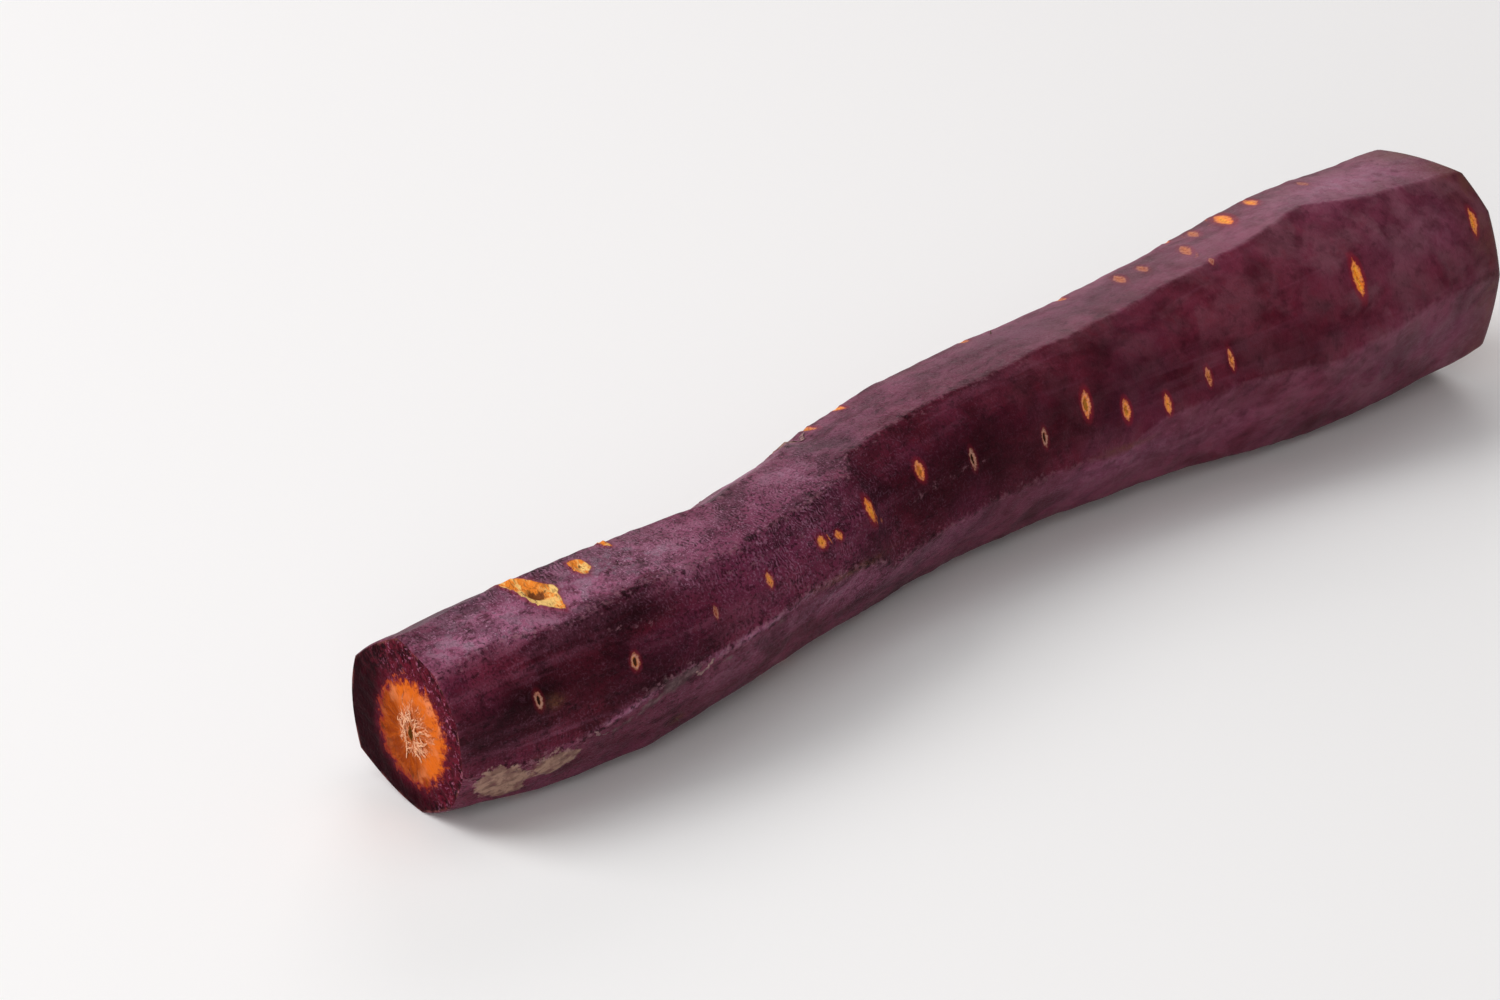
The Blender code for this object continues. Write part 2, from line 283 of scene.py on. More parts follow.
def strokeSurface(places, girths):
    # turn and radius of every point, and its distance in mm from the nearest edge's line of painted highlight
    soft = rootShape["cornerSoft"]
    waver = rootShape["edgeWander"]
    calm = np.clip(np.minimum(places, rootShape["length"] - places) / waver["calm"], 0.0, 1.0)
    turns, radii = [], []
    for number, rows in enumerate(strokeEdges.values()):
        along, turn, lift = np.array(rows, dtype=float).T
        turn, lift = (
            sum(np.interp(places + shift, along, row) for shift in (-soft, 0.0, soft)) / 3
            for row in (turn, lift))
        lines = [np.stack([places, 0 * places + 31.0 * number, 0 * places + row], axis=1)
                 for row in (0.0, 50.0)]
        drift = [noiseAt(line, waver["size"]) + 0.5 * noiseAt(line, 0.3 * waver["size"], 1) for line in lines]
        turns.append(np.radians(turn + waver["turn"] * calm * drift[0]))
        radii.append(girths + lift + waver["lift"] * calm * drift[1])
    steps = rootShape["stepsPerStroke"]
    allTurns, allRadii, edgeGap = [], [], []
    for k in range(len(turns)):
        after = (k + 1) % len(turns)
        start, startRadius, endRadius = turns[k], radii[k], radii[after]
        end = turns[after] + (2 * np.pi if after == 0 else 0.0)
        for step in range(steps):
            share = step / steps
            turn = start + share * (end - start)
            chord = startRadius * endRadius * np.sin(end - start) / (
                startRadius * np.sin(turn - start) + endRadius * np.sin(end - turn))
            arc = startRadius + share * (endRadius - startRadius)
            radius = chord + strokeRound[k] * (arc - chord)
            allTurns.append(turn)
            allRadii.append(radius)
            nearStart = radius * (turn - start) + 2.0 * (1.0 - edgeShow[k])
            nearEnd = radius * (end - turn) + 2.0 * (1.0 - edgeShow[after])
            edgeGap.append(np.minimum(nearStart, nearEnd))
    return (np.array(grid).T for grid in (allTurns, allRadii, edgeGap))


def localPlace(along, turn, radius, item):
    # a point's place in a mark's own measure: 1 is its rim along the root and round it
    place, markTurn, halfAlong, halfRound, lean = item
    offAlong = along - place
    offTurn = (turn - math.radians(markTurn) + np.pi) % (2 * np.pi) - np.pi
    offRound = radius * offTurn
    c, s = math.cos(math.radians(lean)), math.sin(math.radians(lean))
    return (offAlong * c + offRound * s) / halfAlong, (offRound * c - offAlong * s) / halfRound


def allScars():
    scars = list(rootScars)
    plan = hiddenScars
    draw = random.Random(plan["seed"])
    for row in plan["rows"]:
        at = draw.uniform(*plan["firstAt"])
        while at < plan["lastAt"]:
            turn = row + draw.uniform(-plan["turnSpread"], plan["turnSpread"])
            form = [draw.uniform(*plan[key]) for key in ("halfRound", "halfAlong", "lean", "vivid")]
            scars.append((at, turn, *form, draw.choice(plan["holes"])))
            at += draw.uniform(*plan["spacing"])
    return scars


# Depths and heights are shares of a scar's size, reaches are shares of the way to its rim
scarRelief = {"dip": 0.13, "dipFade": 2.2, "lip": 0.05, "lipAt": 1.25, "lipWidth": 0.35,
              "hole": 0.34, "holeAlong": 0.42, "holeRound": 0.36, "shownTo": 1.75, "fade": 0.3}


def carveScars(along, turns, radii):
    # presses each scar into the surface, and keeps for the material where each point lies in its nearest one
    form = scarRelief
    nearest = np.full(radii.shape, 1e6)
    place = np.zeros(radii.shape + (3,))
    kind = np.zeros(radii.shape + (3,))
    carved = radii.copy()
    for at, turn, halfRound, halfAlong, lean, vivid, hole in allScars():
        u, v = localPlace(along, turns, radii, (at, turn, halfAlong, halfRound, lean))
        far = np.sqrt(u**2 + v**2)
        size = math.sqrt(halfRound * halfAlong)
        carved -= form["dip"] * size * np.exp(-form["dipFade"] * far**2)
        carved += form["lip"] * size * np.exp(-((far - form["lipAt"]) / form["lipWidth"]) ** 2)
        hollow = np.exp(-((u / form["holeAlong"]) ** 2 + (v / form["holeRound"]) ** 2))
        carved -= form["hole"] * size * hole * hollow
        reach = far * size
        closer = reach < nearest
        nearest[closer] = reach[closer]
        show = np.clip((form["shownTo"] - far) / form["fade"], 0.0, 1.0)   # hides the seam between two scars
        place[closer] = np.stack([u, v, show], axis=-1)[closer]
        kind[closer] = (vivid, hole, 0.0)
    return carved, place, kind


def allLedges():
    plan = hiddenLedges
    draw = random.Random(plan["seed"])
    ledges = list(peelLedges)
    for _ in range(plan["count"]):
        start, turn = draw.uniform(*plan["starts"]), draw.uniform(*plan["turns"])
        length = draw.uniform(*plan["lengths"])
        path = [(start + length * t, turn + draw.uniform(-5, 5)) for t in (0.0, 0.35, 0.7, 1.0)]
        ledges.append((path, draw.uniform(*plan["height"]), plan["spread"]))
    return ledges


def ledgeRelief(along, turns, radii, wander):
    # a small step down across each ledge's line, and the distance in mm from the nearest line
    relief = np.zeros(radii.shape)
    gap = np.full(radii.shape, 9.0)
    for path, height, spread in allLedges():
        at, turn = np.array(path, dtype=float).T
        offTurn = turns - np.radians(np.interp(along, at, turn))
        off = radii * ((offTurn + np.pi) % (2 * np.pi) - np.pi) + wander
        inside = np.clip(np.minimum(along - at[0], at[-1] - along) / ledgeForm["endFade"], 0.0, 1.0)
        step = np.tanh(off / ledgeForm["stepWidth"]) * np.exp(-np.abs(off) / spread)
        relief -= height * inside * 0.5 * (step + ledgeForm["bulge"] * np.exp(-(off / spread) ** 2))
        gap = np.minimum(gap, np.abs(off) + 3.0 * (1.0 - inside))
    return relief, gap


def insideOutline(along, turns, outline):
    # distance in mm from an outline drawn on the straightened root, above 0 inside
    g = rootShape["girthPerTurn"]
    at, turn = np.array(outline, dtype=float).T
    middle = turn.mean()
    round_ = g * ((turns - math.radians(middle) + np.pi) % (2 * np.pi) - np.pi)
    cornerRound = g * np.radians(turn - middle)
    nearest = np.full(turns.shape, 1e6)
    inside = np.zeros(turns.shape, dtype=bool)
    for k in range(len(at)):
        startAlong, startRound = at[k - 1], cornerRound[k - 1]
        runAlong, runRound = at[k] - startAlong, cornerRound[k] - startRound
        offAlong, offRound = along - startAlong, round_ - startRound
        share = np.clip((offAlong * runAlong + offRound * runRound) / (runAlong**2 + runRound**2), 0.0, 1.0)
        nearest = np.minimum(nearest, np.hypot(offAlong - share * runAlong, offRound - share * runRound))
        crosses = (startRound > round_) != (cornerRound[k] > round_)
        inside ^= crosses & (offAlong < offRound * runAlong / (runRound or 1e-9))
    return np.where(inside, nearest, -nearest)


def markField(kind, along, turns, radii, wobble):
    # above 0 inside a mark, ragged at its border
    field = np.full(radii.shape, -1.0)
    for outline in markOutlines[kind]:
        field = np.maximum(field, insideOutline(along, turns, outline) / raggedKinds[kind] + 0.6 * wobble)
    for *item, strength in skinMarks.get(kind, ()):
        u, v = localPlace(along, turns, radii, item)
        field = np.maximum(field, strength * (1.0 - np.sqrt(u**2 + v**2) + wobble))
    return field


def softField(kind, along, turns, radii, wobble):
    # 0 to 1, fading softly from the middle of each mark
    field = np.zeros(radii.shape)
    for *item, strength in skinMarks[kind]:
        u, v = localPlace(along, turns, radii, item)
        field += strength * np.exp(-1.1 * (u**2 + v**2) * (1.0 + wobble))
    return np.clip(field, 0.0, 1.3)


surfaceRelief = {
    # height in mm, size in mm, seed, stretch
    "swell": (0.12, 9.0, 1, (1.0, 1.0, 1.0)),       # low swellings of the flesh
    "chatter": (0.06, 2.2, 2, (1.0, 0.6, 0.6)),     # small ripples that the blade leaves
    "groove": (0.035, 1.1, 3, (0.16, 1.0, 1.0)),    # fine lengthwise grooves
    "grooveFade": ((55.0, 125.0), (1.0, 0.15)),
    "rimCalm": 3.0,       # the cut rims stay clean this far
    "oldSkin": 0.14,      # height of skin left on, mm
    "tornRim": 0.30,      # how far a torn scar's rim curls out, and how deep its middle lies
    "tornRimAt": 0.10,
    "tornRimWidth": 0.13,
    "tornDip": 0.22,
    "pitDepth": 0.55,
}
# How borders sway, as height in mm, size in mm and seed
borderSway = {
    "ledge": [(0.9, 2.6, 8)],
    "ragged": [(0.45, 1.9, 4), (0.30, 0.8, 5)],
    "fray": [(0.55, 1.6, 9), (0.35, 0.7, 10)],
    "soft": [(0.5, 3.5, 6)],
}


def rootSurface():
    shape = rootShape
    length = shape["length"]
    # rings lie closer together at the two rims
    rims = np.array([0.0, 0.12, 0.35])
    places = np.concatenate([
        rims, np.linspace(0.75, length - 2.1, shape["ringCount"] - 8),
        length - shape["crownRimRound"] * np.array([1.0, 0.7, 0.4, 0.15, 0.0])])
    middles, directions, girths = middleAt(places)
    turns, radii, edgeGap = strokeSurface(places, girths)
    along = np.repeat(places[:, None], radii.shape[1], axis=1)

    g = shape["girthPerTurn"]
    straight = np.stack([along, g * np.cos(turns), g * np.sin(turns)], axis=-1)
    flat = straight.reshape(-1, 3)

    def field(size, seed, stretch=(1.0, 1.0, 1.0)):
        return noiseAt(flat * np.array(stretch), size, seed).reshape(radii.shape)

    def sway(name):
        return sum(height * field(size, seed) for height, size, seed in borderSway[name])

    relief = surfaceRelief
    away = np.clip(np.minimum(along, length - along) / relief["rimCalm"], 0.0, 1.0)
    swell, chatter, groove = (
        row[0] * field(*row[1:]) for row in (relief["swell"], relief["chatter"], relief["groove"]))
    radii = radii + away * (swell + chatter + groove * np.interp(along, *relief["grooveFade"]))
    ledges, ledgeGap = ledgeRelief(along, turns, radii, sway("ledge"))
    radii = radii + ledges
    radii, scarPlace, scarKind = carveScars(along, turns, radii)

    wobble = sway("ragged")
    fields = {kind: markField(kind, along, turns, radii, wobble) for kind in raggedKinds}
    oldSkin = np.maximum(fields["tan"], fields["grey"])
    radii = radii + relief["oldSkin"] * np.clip(oldSkin / 0.15, 0.0, 1.0)
    fromRim = (fields["torn"] - relief["tornRimAt"]) / relief["tornRimWidth"]
    radii = radii + relief["tornRim"] * np.exp(-fromRim**2)
    radii = radii - relief["tornDip"] * np.clip(fields["torn"] / 0.5, 0.0, 1.0)
    radii = radii - relief["pitDepth"] * np.clip(fields["pit"] / 0.6, 0.0, 1.0)
    radii = radii - rimRounding(places)[:, None]

    # painted shade on the front side: the flesh between the two outer edges of the front strokes, which went
    # deeper, is darker
    names = list(strokeEdges)
    depth, softTop, softLow = (
        np.interp(along, frontShadeDepth["at"], frontShadeDepth[key]) for key in ("depth", "softTop", "softLow"))
    fray = sway("fray") * np.minimum(softTop, 1.0)
    fromTop, fromLow = (
        radii * (turns - turns[:, [shape["stepsPerStroke"] * names.index(name)]]) + fray
        for name in ("top front", "low front"))
    underTop = np.clip(0.5 + fromTop / softTop, 0.0, 1.0)
    fields["deepCutShade"] = depth * underTop * np.clip(0.5 - fromLow / softLow, 0.0, 1.0)
    # a little painted shade on the lower strokes too, which went a little deeper than those on top
    below = np.clip(fromLow / frontShadeDepth["belowSoft"], 0.0, 1.0)
    below = below * np.clip((frontShadeDepth["belowTo"] - turns) / 0.5, 0.0, 1.0)
    fields["deepCutShade"] += frontShadeDepth["below"] * below

    soft = sway("soft")
    for kind in softKinds:
        fields[kind] = softField(kind, along, turns, radii, soft)
    # the painted sheen of the pale marks, and the slate marks, stay off the front band
    for kind in ("pale", "slate"):
        fields[kind] *= 1.0 - 0.8 * fields["deepCutShade"]
    fields["dark"] *= 0.5 + 0.5 * fields["deepCutShade"]
    # the lines of painted highlight follow the stroke edges and the ledges
    fields["edgeGap"] = np.minimum(edgeGap, ledgeGap + ledgeForm["paleGap"])
    vectors = {"rootPlace": straight, "scarPlace": scarPlace, "scarKind": scarKind}

    up = np.array([0.0, 0.0, 1.0]) - directions * directions[:, 2:3]
    up /= np.linalg.norm(up, axis=1)[:, None]
    front = np.cross(directions, up)
    outward = np.cos(turns)[..., None] * up[:, None] + np.sin(turns)[..., None] * front[:, None]
    points = middles[:, None] + radii[..., None] * outward
    points[..., 2] = np.maximum(points[..., 2], 0.0)
    return {"points": points, "outward": outward, "turns": turns, "places": places, "middles": middles,
            "directions": directions, "up": up, "front": front, "fields": fields, "vectors": vectors}


ringCrowding = 0.92   # below 1 the rings of points on a cut face lie closer together towards its rim
coreEdge = {"steep": 16.0, "wander": 0.35, "size": 0.6, "seed": 11}   # the core's border

# Cut faces: border of the orange core as turn and radius in mm, how far it stands out, rings of points inside
cutFaces = {
    "thin": {
        "side": -1.0, "rings": 27, "stand": 0.20, "rough": 0.10, "seed": 7,
        "core": [(-60, 6.2), (-24, 6.6), (6, 7.5), (30, 8.0), (80, 7.1), (113, 6.4), (149, 6.4), (179, 6.9),
                 (209, 7.3), (235, 7.1), (300, 6.2)],
    },
    "crown": {
        "side": 1.0, "rings": 30, "stand": -0.15, "rough": 0.12, "seed": 19,
        "core": [(-60, 11.0), (-20, 10.4), (20, 11.2), (70, 11.6), (120, 10.9), (170, 10.2), (220, 10.9),
                 (260, 11.3), (300, 11.0)],
    },
}


def cutFace(surface, ring, cut):
    # rings of points from inside the rim to the middle, with their polar place for the material
    middle, direction = surface["middles"][ring], surface["directions"][ring]
    up, front = surface["up"][ring], surface["front"][ring]
    offsets = surface["points"][ring] - middle
    turn = np.arctan2(offsets @ front, offsets @ up)
    rimRadius = np.linalg.norm(offsets, axis=1)
    around = np.array(cut["core"], dtype=float)
    coreRadius = np.interp(np.degrees(turn) % 360.0, around[:, 0], around[:, 1], period=360.0)
    roundPlace = np.stack([2 * np.cos(turn), 2 * np.sin(turn), 0 * turn], axis=1)
    coreRadius = coreRadius + coreEdge["wander"] * noiseAt(roundPlace, coreEdge["size"], coreEdge["seed"])
    rings, polar = [], []
    for step in range(cut["rings"] + 1):
        share = (1.0 - step / (cut["rings"] + 1)) ** ringCrowding
        r = rimRadius * share
        flatPlace = np.stack([r * np.cos(turn), r * np.sin(turn), 0 * r], axis=1)
        rays = noiseAt(np.stack([7 * np.cos(turn), 7 * np.sin(turn), 0.3 * r], axis=1), 1.0, cut["seed"])
        lumps = noiseAt(flatPlace, 0.9, cut["seed"] + 1) + 0.8 * noiseAt(flatPlace, 2.6, cut["seed"] + 2)
        inside = 1.0 / (1.0 + np.exp((r / coreRadius - 1.0) * coreEdge["steep"]))
        height = cut["stand"] * inside + cut["rough"] * (rays + lumps)
        height = height * min(1.0, 10.0 * (1.0 - share))   # level with the rim
        flat = r[:, None] * (np.cos(turn)[:, None] * up + np.sin(turn)[:, None] * front)
        rings.append(middle + flat + cut["side"] * height[:, None] * direction)
        polar.append(np.stack([r / coreRadius, r, share * np.ones(len(r))], axis=1))
    rays = np.stack([np.cos(turn), np.sin(turn), np.full(len(turn), cut["seed"] * 1.0)], axis=1)
    return {"rings": np.array(rings), "polar": np.array(polar), "rays": rays, "turn": turn,
            "rimRadius": rimRadius, "direction": direction * cut["side"], "middle": middle}


def buildRoot(surface):
    points = surface["points"]
    ringCount, ringSize = points.shape[:2]
    skinCount = ringCount * ringSize
    verts = [points.reshape(-1, 3)]
    cutPlace, cutRay = [np.zeros((skinCount, 3))], [np.zeros((skinCount, 3))]
    faces, faceKind = [], []
    for ring in range(ringCount - 1):
        here, ahead = ring * ringSize, (ring + 1) * ringSize
        for k in range(ringSize):
            after = (k + 1) % ringSize
            faces.append((here + k, here + after, ahead + after, ahead + k))
            faceKind.append(0)
    total = skinCount
    cuts = {}
    for number, (name, ring) in enumerate([("thin", 0), ("crown", ringCount - 1)]):
        face = cuts[name] = cutFace(surface, ring, cutFaces[name])
        # the cut face starts on the skin's own rim points
        rim = slice(ring * ringSize, (ring + 1) * ringSize)
        cutPlace[0][rim] = face["polar"][0]
        cutRay[0][rim] = face["rays"]
        inner = face["rings"][1:]
        verts += [inner.reshape(-1, 3), inner[-1].mean(axis=0)[None]]
        cutPlace += [face["polar"][1:].reshape(-1, 3), np.zeros((1, 3))]
        cutRay += [np.tile(face["rays"], (len(inner), 1)), np.array([[0.0, 0.0, face["rays"][0, 2]]])]
        loops = [ring * ringSize] + [total + loop * ringSize for loop in range(len(inner))]
        centre = total + len(inner) * ringSize
        for k in range(ringSize):
            after = (k + 1) % ringSize
            run = [(here + k, ahead + k, ahead + after, here + after)
                   for here, ahead in zip(loops, loops[1:])]
            run.append((loops[-1] + k, centre, loops[-1] + after))
            faces += run if name == "thin" else [item[::-1] for item in run]
            faceKind += [1 + number] * len(run)
        total = centre + 1
    verts = np.concatenate(verts)
    low, high = points.reshape(-1, 3).min(axis=0), points.reshape(-1, 3).max(axis=0)
    cadLow, cadHigh = np.array(boxBefore[0]) / mm, np.array(boxBefore[1]) / mm
    shift = (cadLow + cadHigh) / 2 - (low + high) / 2
    shift[2] = 0.0
    print("root drawn:", len(verts), "points, shift", shift.round(3))

    mesh = bpy.data.meshes.new("carrotSkin")
    mesh.from_pydata([tuple(v) for v in (verts + shift) * mm], [], faces)
    mesh.polygons.foreach_set("material_index", faceKind)
    extra = len(verts) - skinCount
    for key, field in surface["fields"].items():
        values = np.append(field.reshape(-1), np.zeros(extra))
        mesh.attributes.new(key, "FLOAT", "POINT").data.foreach_set("value", values.astype(np.float32))
    vectors = {
        key: [field.reshape(-1, 3), np.zeros((extra, 3))] for key, field in surface["vectors"].items()}
    vectors.update({"cutPlace": cutPlace, "cutRay": cutRay})
    for key, parts in vectors.items():
        attribute = mesh.attributes.new(key, "FLOAT_VECTOR", "POINT")
        attribute.data.foreach_set("vector", np.concatenate(parts).astype(np.float32).reshape(-1))
    mesh.shade_smooth()
    # the two cut rims stay crisp
    ends = np.empty(len(mesh.edges) * 2, dtype=np.int32)
    mesh.edges.foreach_get("vertices", ends)
    ends = ends.reshape(-1, 2)
    onThinRim = (ends < ringSize).all(axis=1)
    onCrownRim = ((ends >= skinCount - ringSize) & (ends < skinCount)).all(axis=1)
    mesh.attributes.new("sharp_edge", "BOOLEAN", "EDGE").data.foreach_set("value", onThinRim | onCrownRim)
    root = bpy.data.objects.new("carrotSkin", mesh)
    bpy.context.collection.objects.link(root)
    return root, shift, cuts


class Wire:
    # one value in a material, so that values are added, subtracted and multiplied like numbers
    def __init__(self, tree, socket):
        self.tree = tree
        self.socket = socket

    def calc(self, operation, *others, clamp=False):
        inputs = dict(enumerate((self, *others)))
        node = putNode(self.tree, "ShaderNodeMath", inputs, operation=operation, use_clamp=clamp)
        return Wire(self.tree, node.outputs[0])

    def __add__(self, other):
        return self.calc("ADD", other)

    def __mul__(self, other):
        return self.calc("MULTIPLY", other)

    def __sub__(self, other):
        return self.calc("SUBTRACT", other)

    def __rsub__(self, other):
        return self.calc("MULTIPLY_ADD", -1.0, other)

    def __abs__(self):
        return self.calc("ABSOLUTE")

    def scaled(self, factor, start):
        # held between 0 and 1
        return self.calc("MULTIPLY_ADD", factor, start, clamp=True)


def plug(tree, socket, value):
    if isinstance(value, Wire):
        tree.links.new(value.socket, socket)
    else:
        socket.default_value = value


def putNode(tree, kind, inputs, **settings):
    node = tree.nodes.new(kind)
    for name, value in settings.items():
        setattr(node, name, value)
    for name, value in inputs.items():
        plug(tree, node.inputs[name], value)
    return node


def ease(value, low, high, outLow=0.0, outHigh=1.0):
    # a soft step of value from low to high
    node = putNode(value.tree, "ShaderNodeMapRange", {
        "Value": value, "From Min": low, "From Max": high, "To Min": outLow, "To Max": outHigh,
    }, interpolation_type="SMOOTHSTEP")
    return Wire(value.tree, node.outputs["Result"])


def centred(grain, amount):
    # a noise about 0, this far to each side
    return grain.calc("MULTIPLY_ADD", 2.0 * amount, -amount)


def thinLine(grain, width, soft):
    # a line where a noise passes its middle value
    return ease(abs(grain - 0.5), width, soft)


def distance(first, second):
    return (first * first + second * second).calc("SQRT")


class Paint:
    # one material: its noises, and its colours laid over each other
    def __init__(self, name, tones, base):
        self.material = bpy.data.materials.new(name)
        self.material.use_nodes = True
        self.tree = self.material.node_tree
        self.tones = tones
        self.colour = tones[base]

    def field(self, name, output="Fac"):
        node = putNode(self.tree, "ShaderNodeAttribute", {}, attribute_name=name, attribute_type="GEOMETRY")
        return Wire(self.tree, node.outputs[output])

    def parts(self, name):
        # the three numbers of a vector field
        node = putNode(self.tree, "ShaderNodeSeparateXYZ", {0: self.field(name, "Vector")})
        return [Wire(self.tree, socket) for socket in node.outputs]

    def joined(self, *numbers):
        node = putNode(self.tree, "ShaderNodeCombineXYZ", dict(enumerate(numbers)))
        return Wire(self.tree, node.outputs[0])

    def grain(self, place, size, detail, rough, twist=0.0, stretch=(1.0, 1.0, 1.0), shift=(0.0, 0.0, 0.0)):
        # noise with features about this size in mm
        moved = putNode(
            self.tree, "ShaderNodeVectorMath", {0: place, 1: stretch, 2: shift}, operation="MULTIPLY_ADD")
        node = putNode(self.tree, "ShaderNodeTexNoise", {
            "Vector": Wire(self.tree, moved.outputs[0]), "Scale": 1.0 / size, "Detail": detail,
            "Roughness": rough, "Distortion": twist})
        return Wire(self.tree, node.outputs["Fac"])

    def grains(self, place, plan):
        return SimpleNamespace(**{name: self.grain(place, *row) for name, row in plan.items()})

    def mix(self, colour, *layers):
        # each layer is how much of it shows, and its colour
        for share, over in layers:
            node = putNode(self.tree, "ShaderNodeMix", {}, data_type="RGBA", clamp_factor=True)
            # the colour sockets share their names with the number ones
            sockets = {socket.name: socket for socket in node.inputs if socket.enabled}
            plug(self.tree, sockets["Factor"], share)
            for name, tone in (("A", colour), ("B", over)):
                tone = self.tones[tone] if isinstance(tone, str) else tone
                plug(self.tree, sockets[name], tone if isinstance(tone, Wire) else (*tone, 1.0))
            colour = Wire(self.tree, [socket for socket in node.outputs if socket.enabled][0])
        return colour

    def lay(self, share, tone):
        self.colour = self.mix(self.colour, (share, tone))

    def finish(self, rough, height, bumpStrength, bumpDepth, constants=None):
        bump = putNode(self.tree, "ShaderNodeBump", {
            "Strength": bumpStrength, "Distance": bumpDepth * mm, "Height": height})
        inputs = self.tree.nodes["Principled BSDF"].inputs
        plug(self.tree, inputs["Base Color"], self.colour)
        plug(self.tree, inputs["Roughness"], rough)
        plug(self.tree, inputs["Normal"], Wire(self.tree, bump.outputs["Normal"]))
        for name, value in (constants or {}).items():
            inputs[name].default_value = value
        return self.material


# The peeled skin: colours are linear, sizes in mm
skinLook = {
    "deep": (0.074, 0.005, 0.014), "maroon": (0.122, 0.013, 0.029), "night": (0.014, 0.002, 0.004),
    "violet": (0.190, 0.032, 0.086), "mauve": (0.360, 0.150, 0.240), "red": (0.150, 0.011, 0.024),
    "sheenPaint": (0.400, 0.135, 0.240), "ash": (0.330, 0.190, 0.265), "dusk": (0.200, 0.080, 0.104),
    "slate": (0.105, 0.066, 0.098), "track": (0.200, 0.052, 0.092), "glint": (0.700, 0.480, 0.600),
    "umber": (0.130, 0.050, 0.026), "crownTint": (0.130, 0.055, 0.030), "edgeHighlight": (0.330, 0.150, 0.190),
    "tan": (0.370, 0.232, 0.170), "tanDark": (0.225, 0.128, 0.098), "tanPale": (0.400, 0.270, 0.220),
    "grey": (0.170, 0.110, 0.115), "greyDark": (0.090, 0.050, 0.055),
    "scarOrange": (0.960, 0.200, 0.012), "scarYellow": (1.000, 0.470, 0.060),
    "scarDull": (0.450, 0.200, 0.145), "scarPale": (0.640, 0.360, 0.270), "scarHole": (0.025, 0.008, 0.004),
    "scarFreckle": (0.300, 0.040, 0.020), "scarHalo": (0.260, 0.014, 0.028),
    "tornYellow": (0.950, 0.620, 0.210), "tornOrange": (0.860, 0.250, 0.030),
    "tornBrown": (0.200, 0.060, 0.018),
    "printSpacing": 0.55,          # distance between the fine ripples that run round the root
    "grainFades": (55.0, 125.0),   # the grain grows finer from here to here
    "crownFade": (172.0, 180.5),   # the brown tint beside the crown's cut
    "roughness": 0.46,
    "bumpHeight": 0.11,
    "gloss": 0.08,
    "ior": 1.42,
}

# Noises on the skin: size in mm, detail, roughness, twist, stretch, shift
skinGrains = {
    "broad": (13.0, 2.0, 0.5),
    "bruise": (6.5, 4.0, 0.62, 0.6, (0.6, 1.0, 1.0), (0.0, 0.0, 60.0)),
    "printZone": (4.5, 2.0, 0.5),
    "dusk": (4.4, 3.0, 0.55, 0.6, (0.8, 1.0, 1.0), (0.0, 51.0, 0.0)),
    "slowWander": (4.0, 1.0, 0.5),
    "blotch": (3.6, 3.0, 0.6, 0.4, (0.7, 1.0, 1.0)),
    "track": (2.4, 3.0, 0.6, 0.3, (0.07, 1.0, 1.0), (0.0, 12.0, 30.0)),
    "crease": (2.4, 3.0, 0.6, 0.6, (0.35, 1.0, 1.0), (0.0, 58.0, 0.0)),
    "scratch": (1.5, 2.0, 0.55, 0.9, (0.7, 1.0, 1.0), (0.0, 0.0, 45.0)),
    "patch": (1.5, 3.0, 0.6, 0.3, (1.0, 1.0, 1.0), (40.0, 0.0, 0.0)),
    "streak": (1.3, 2.0, 0.5, 0.0, (0.22, 1.0, 1.0), (3.0, 0.0, 0.0)),
    "cluster": (1.3, 3.0, 0.6, 0.0, (0.8, 1.0, 1.0), (0.0, 25.0, 0.0)),
    "quickWander": (0.9, 1.0, 0.5),
    "pore": (0.75, 2.0, 0.6, 0.0, (1.0, 1.0, 1.0), (9.0, 9.0, 9.0)),
    "broken": (0.6, 1.0, 0.5, 0.0, (1.0, 1.0, 1.0), (15.0, 0.0, 0.0)),
    "strand": (0.55, 3.0, 0.6, 0.5, (1.0, 0.40, 0.40), (5.0, 0.0, 0.0)),
    "scarEdge": (0.45, 2.0, 0.6),
    "pit": (0.375, 2.0, 0.6, 0.0, (1.0, 0.9, 0.9), (0.0, 0.0, 90.0)),
    "speck": (0.34, 3.0, 0.7),
    "crack": (0.32, 2.0, 0.6, 0.4, (1.0, 0.45, 0.45), (0.0, 33.0, 0.0)),
    "fleck": (0.30, 1.0, 0.5, 0.0, (1.0, 0.9, 0.9), (0.0, 70.0, 0.0)),
    "fibre": (0.30, 2.0, 0.6, 0.0, (1.0, 0.30, 0.30)),
}


def scarMasks(skin, edge):
    # spindle shaped, or oval where a hole is open, and soft at the border
    u, v, show = skin.parts("scarPlace")
    vivid, hole = skin.parts("scarKind")[:2]
    ragged = centred(edge, 0.45)
    tips = v * v * 0.92
    spindle = abs(u) + tips
    form = ragged + (distance(u, v) - spindle) * hole + spindle
    hollow = ragged * 1.2 + u * u * 6.25 + v * v * 4.0
    wide = u * u * 0.45 + tips * 0.62
    scar = ease(form, 1.08, 0.66) * show
    return SimpleNamespace(
        vivid=vivid, open=hole, scar=scar,
        core=ease(form, 0.90, 0.10),
        rim=ease(form, 0.30, 0.66) * scar,
        hole=ease(hollow, 1.25, 0.55) * ease(hole, 0.1, 0.8) * show,
        halo=ease(ragged * 0.6 + wide, 1.45, 0.40) * show)


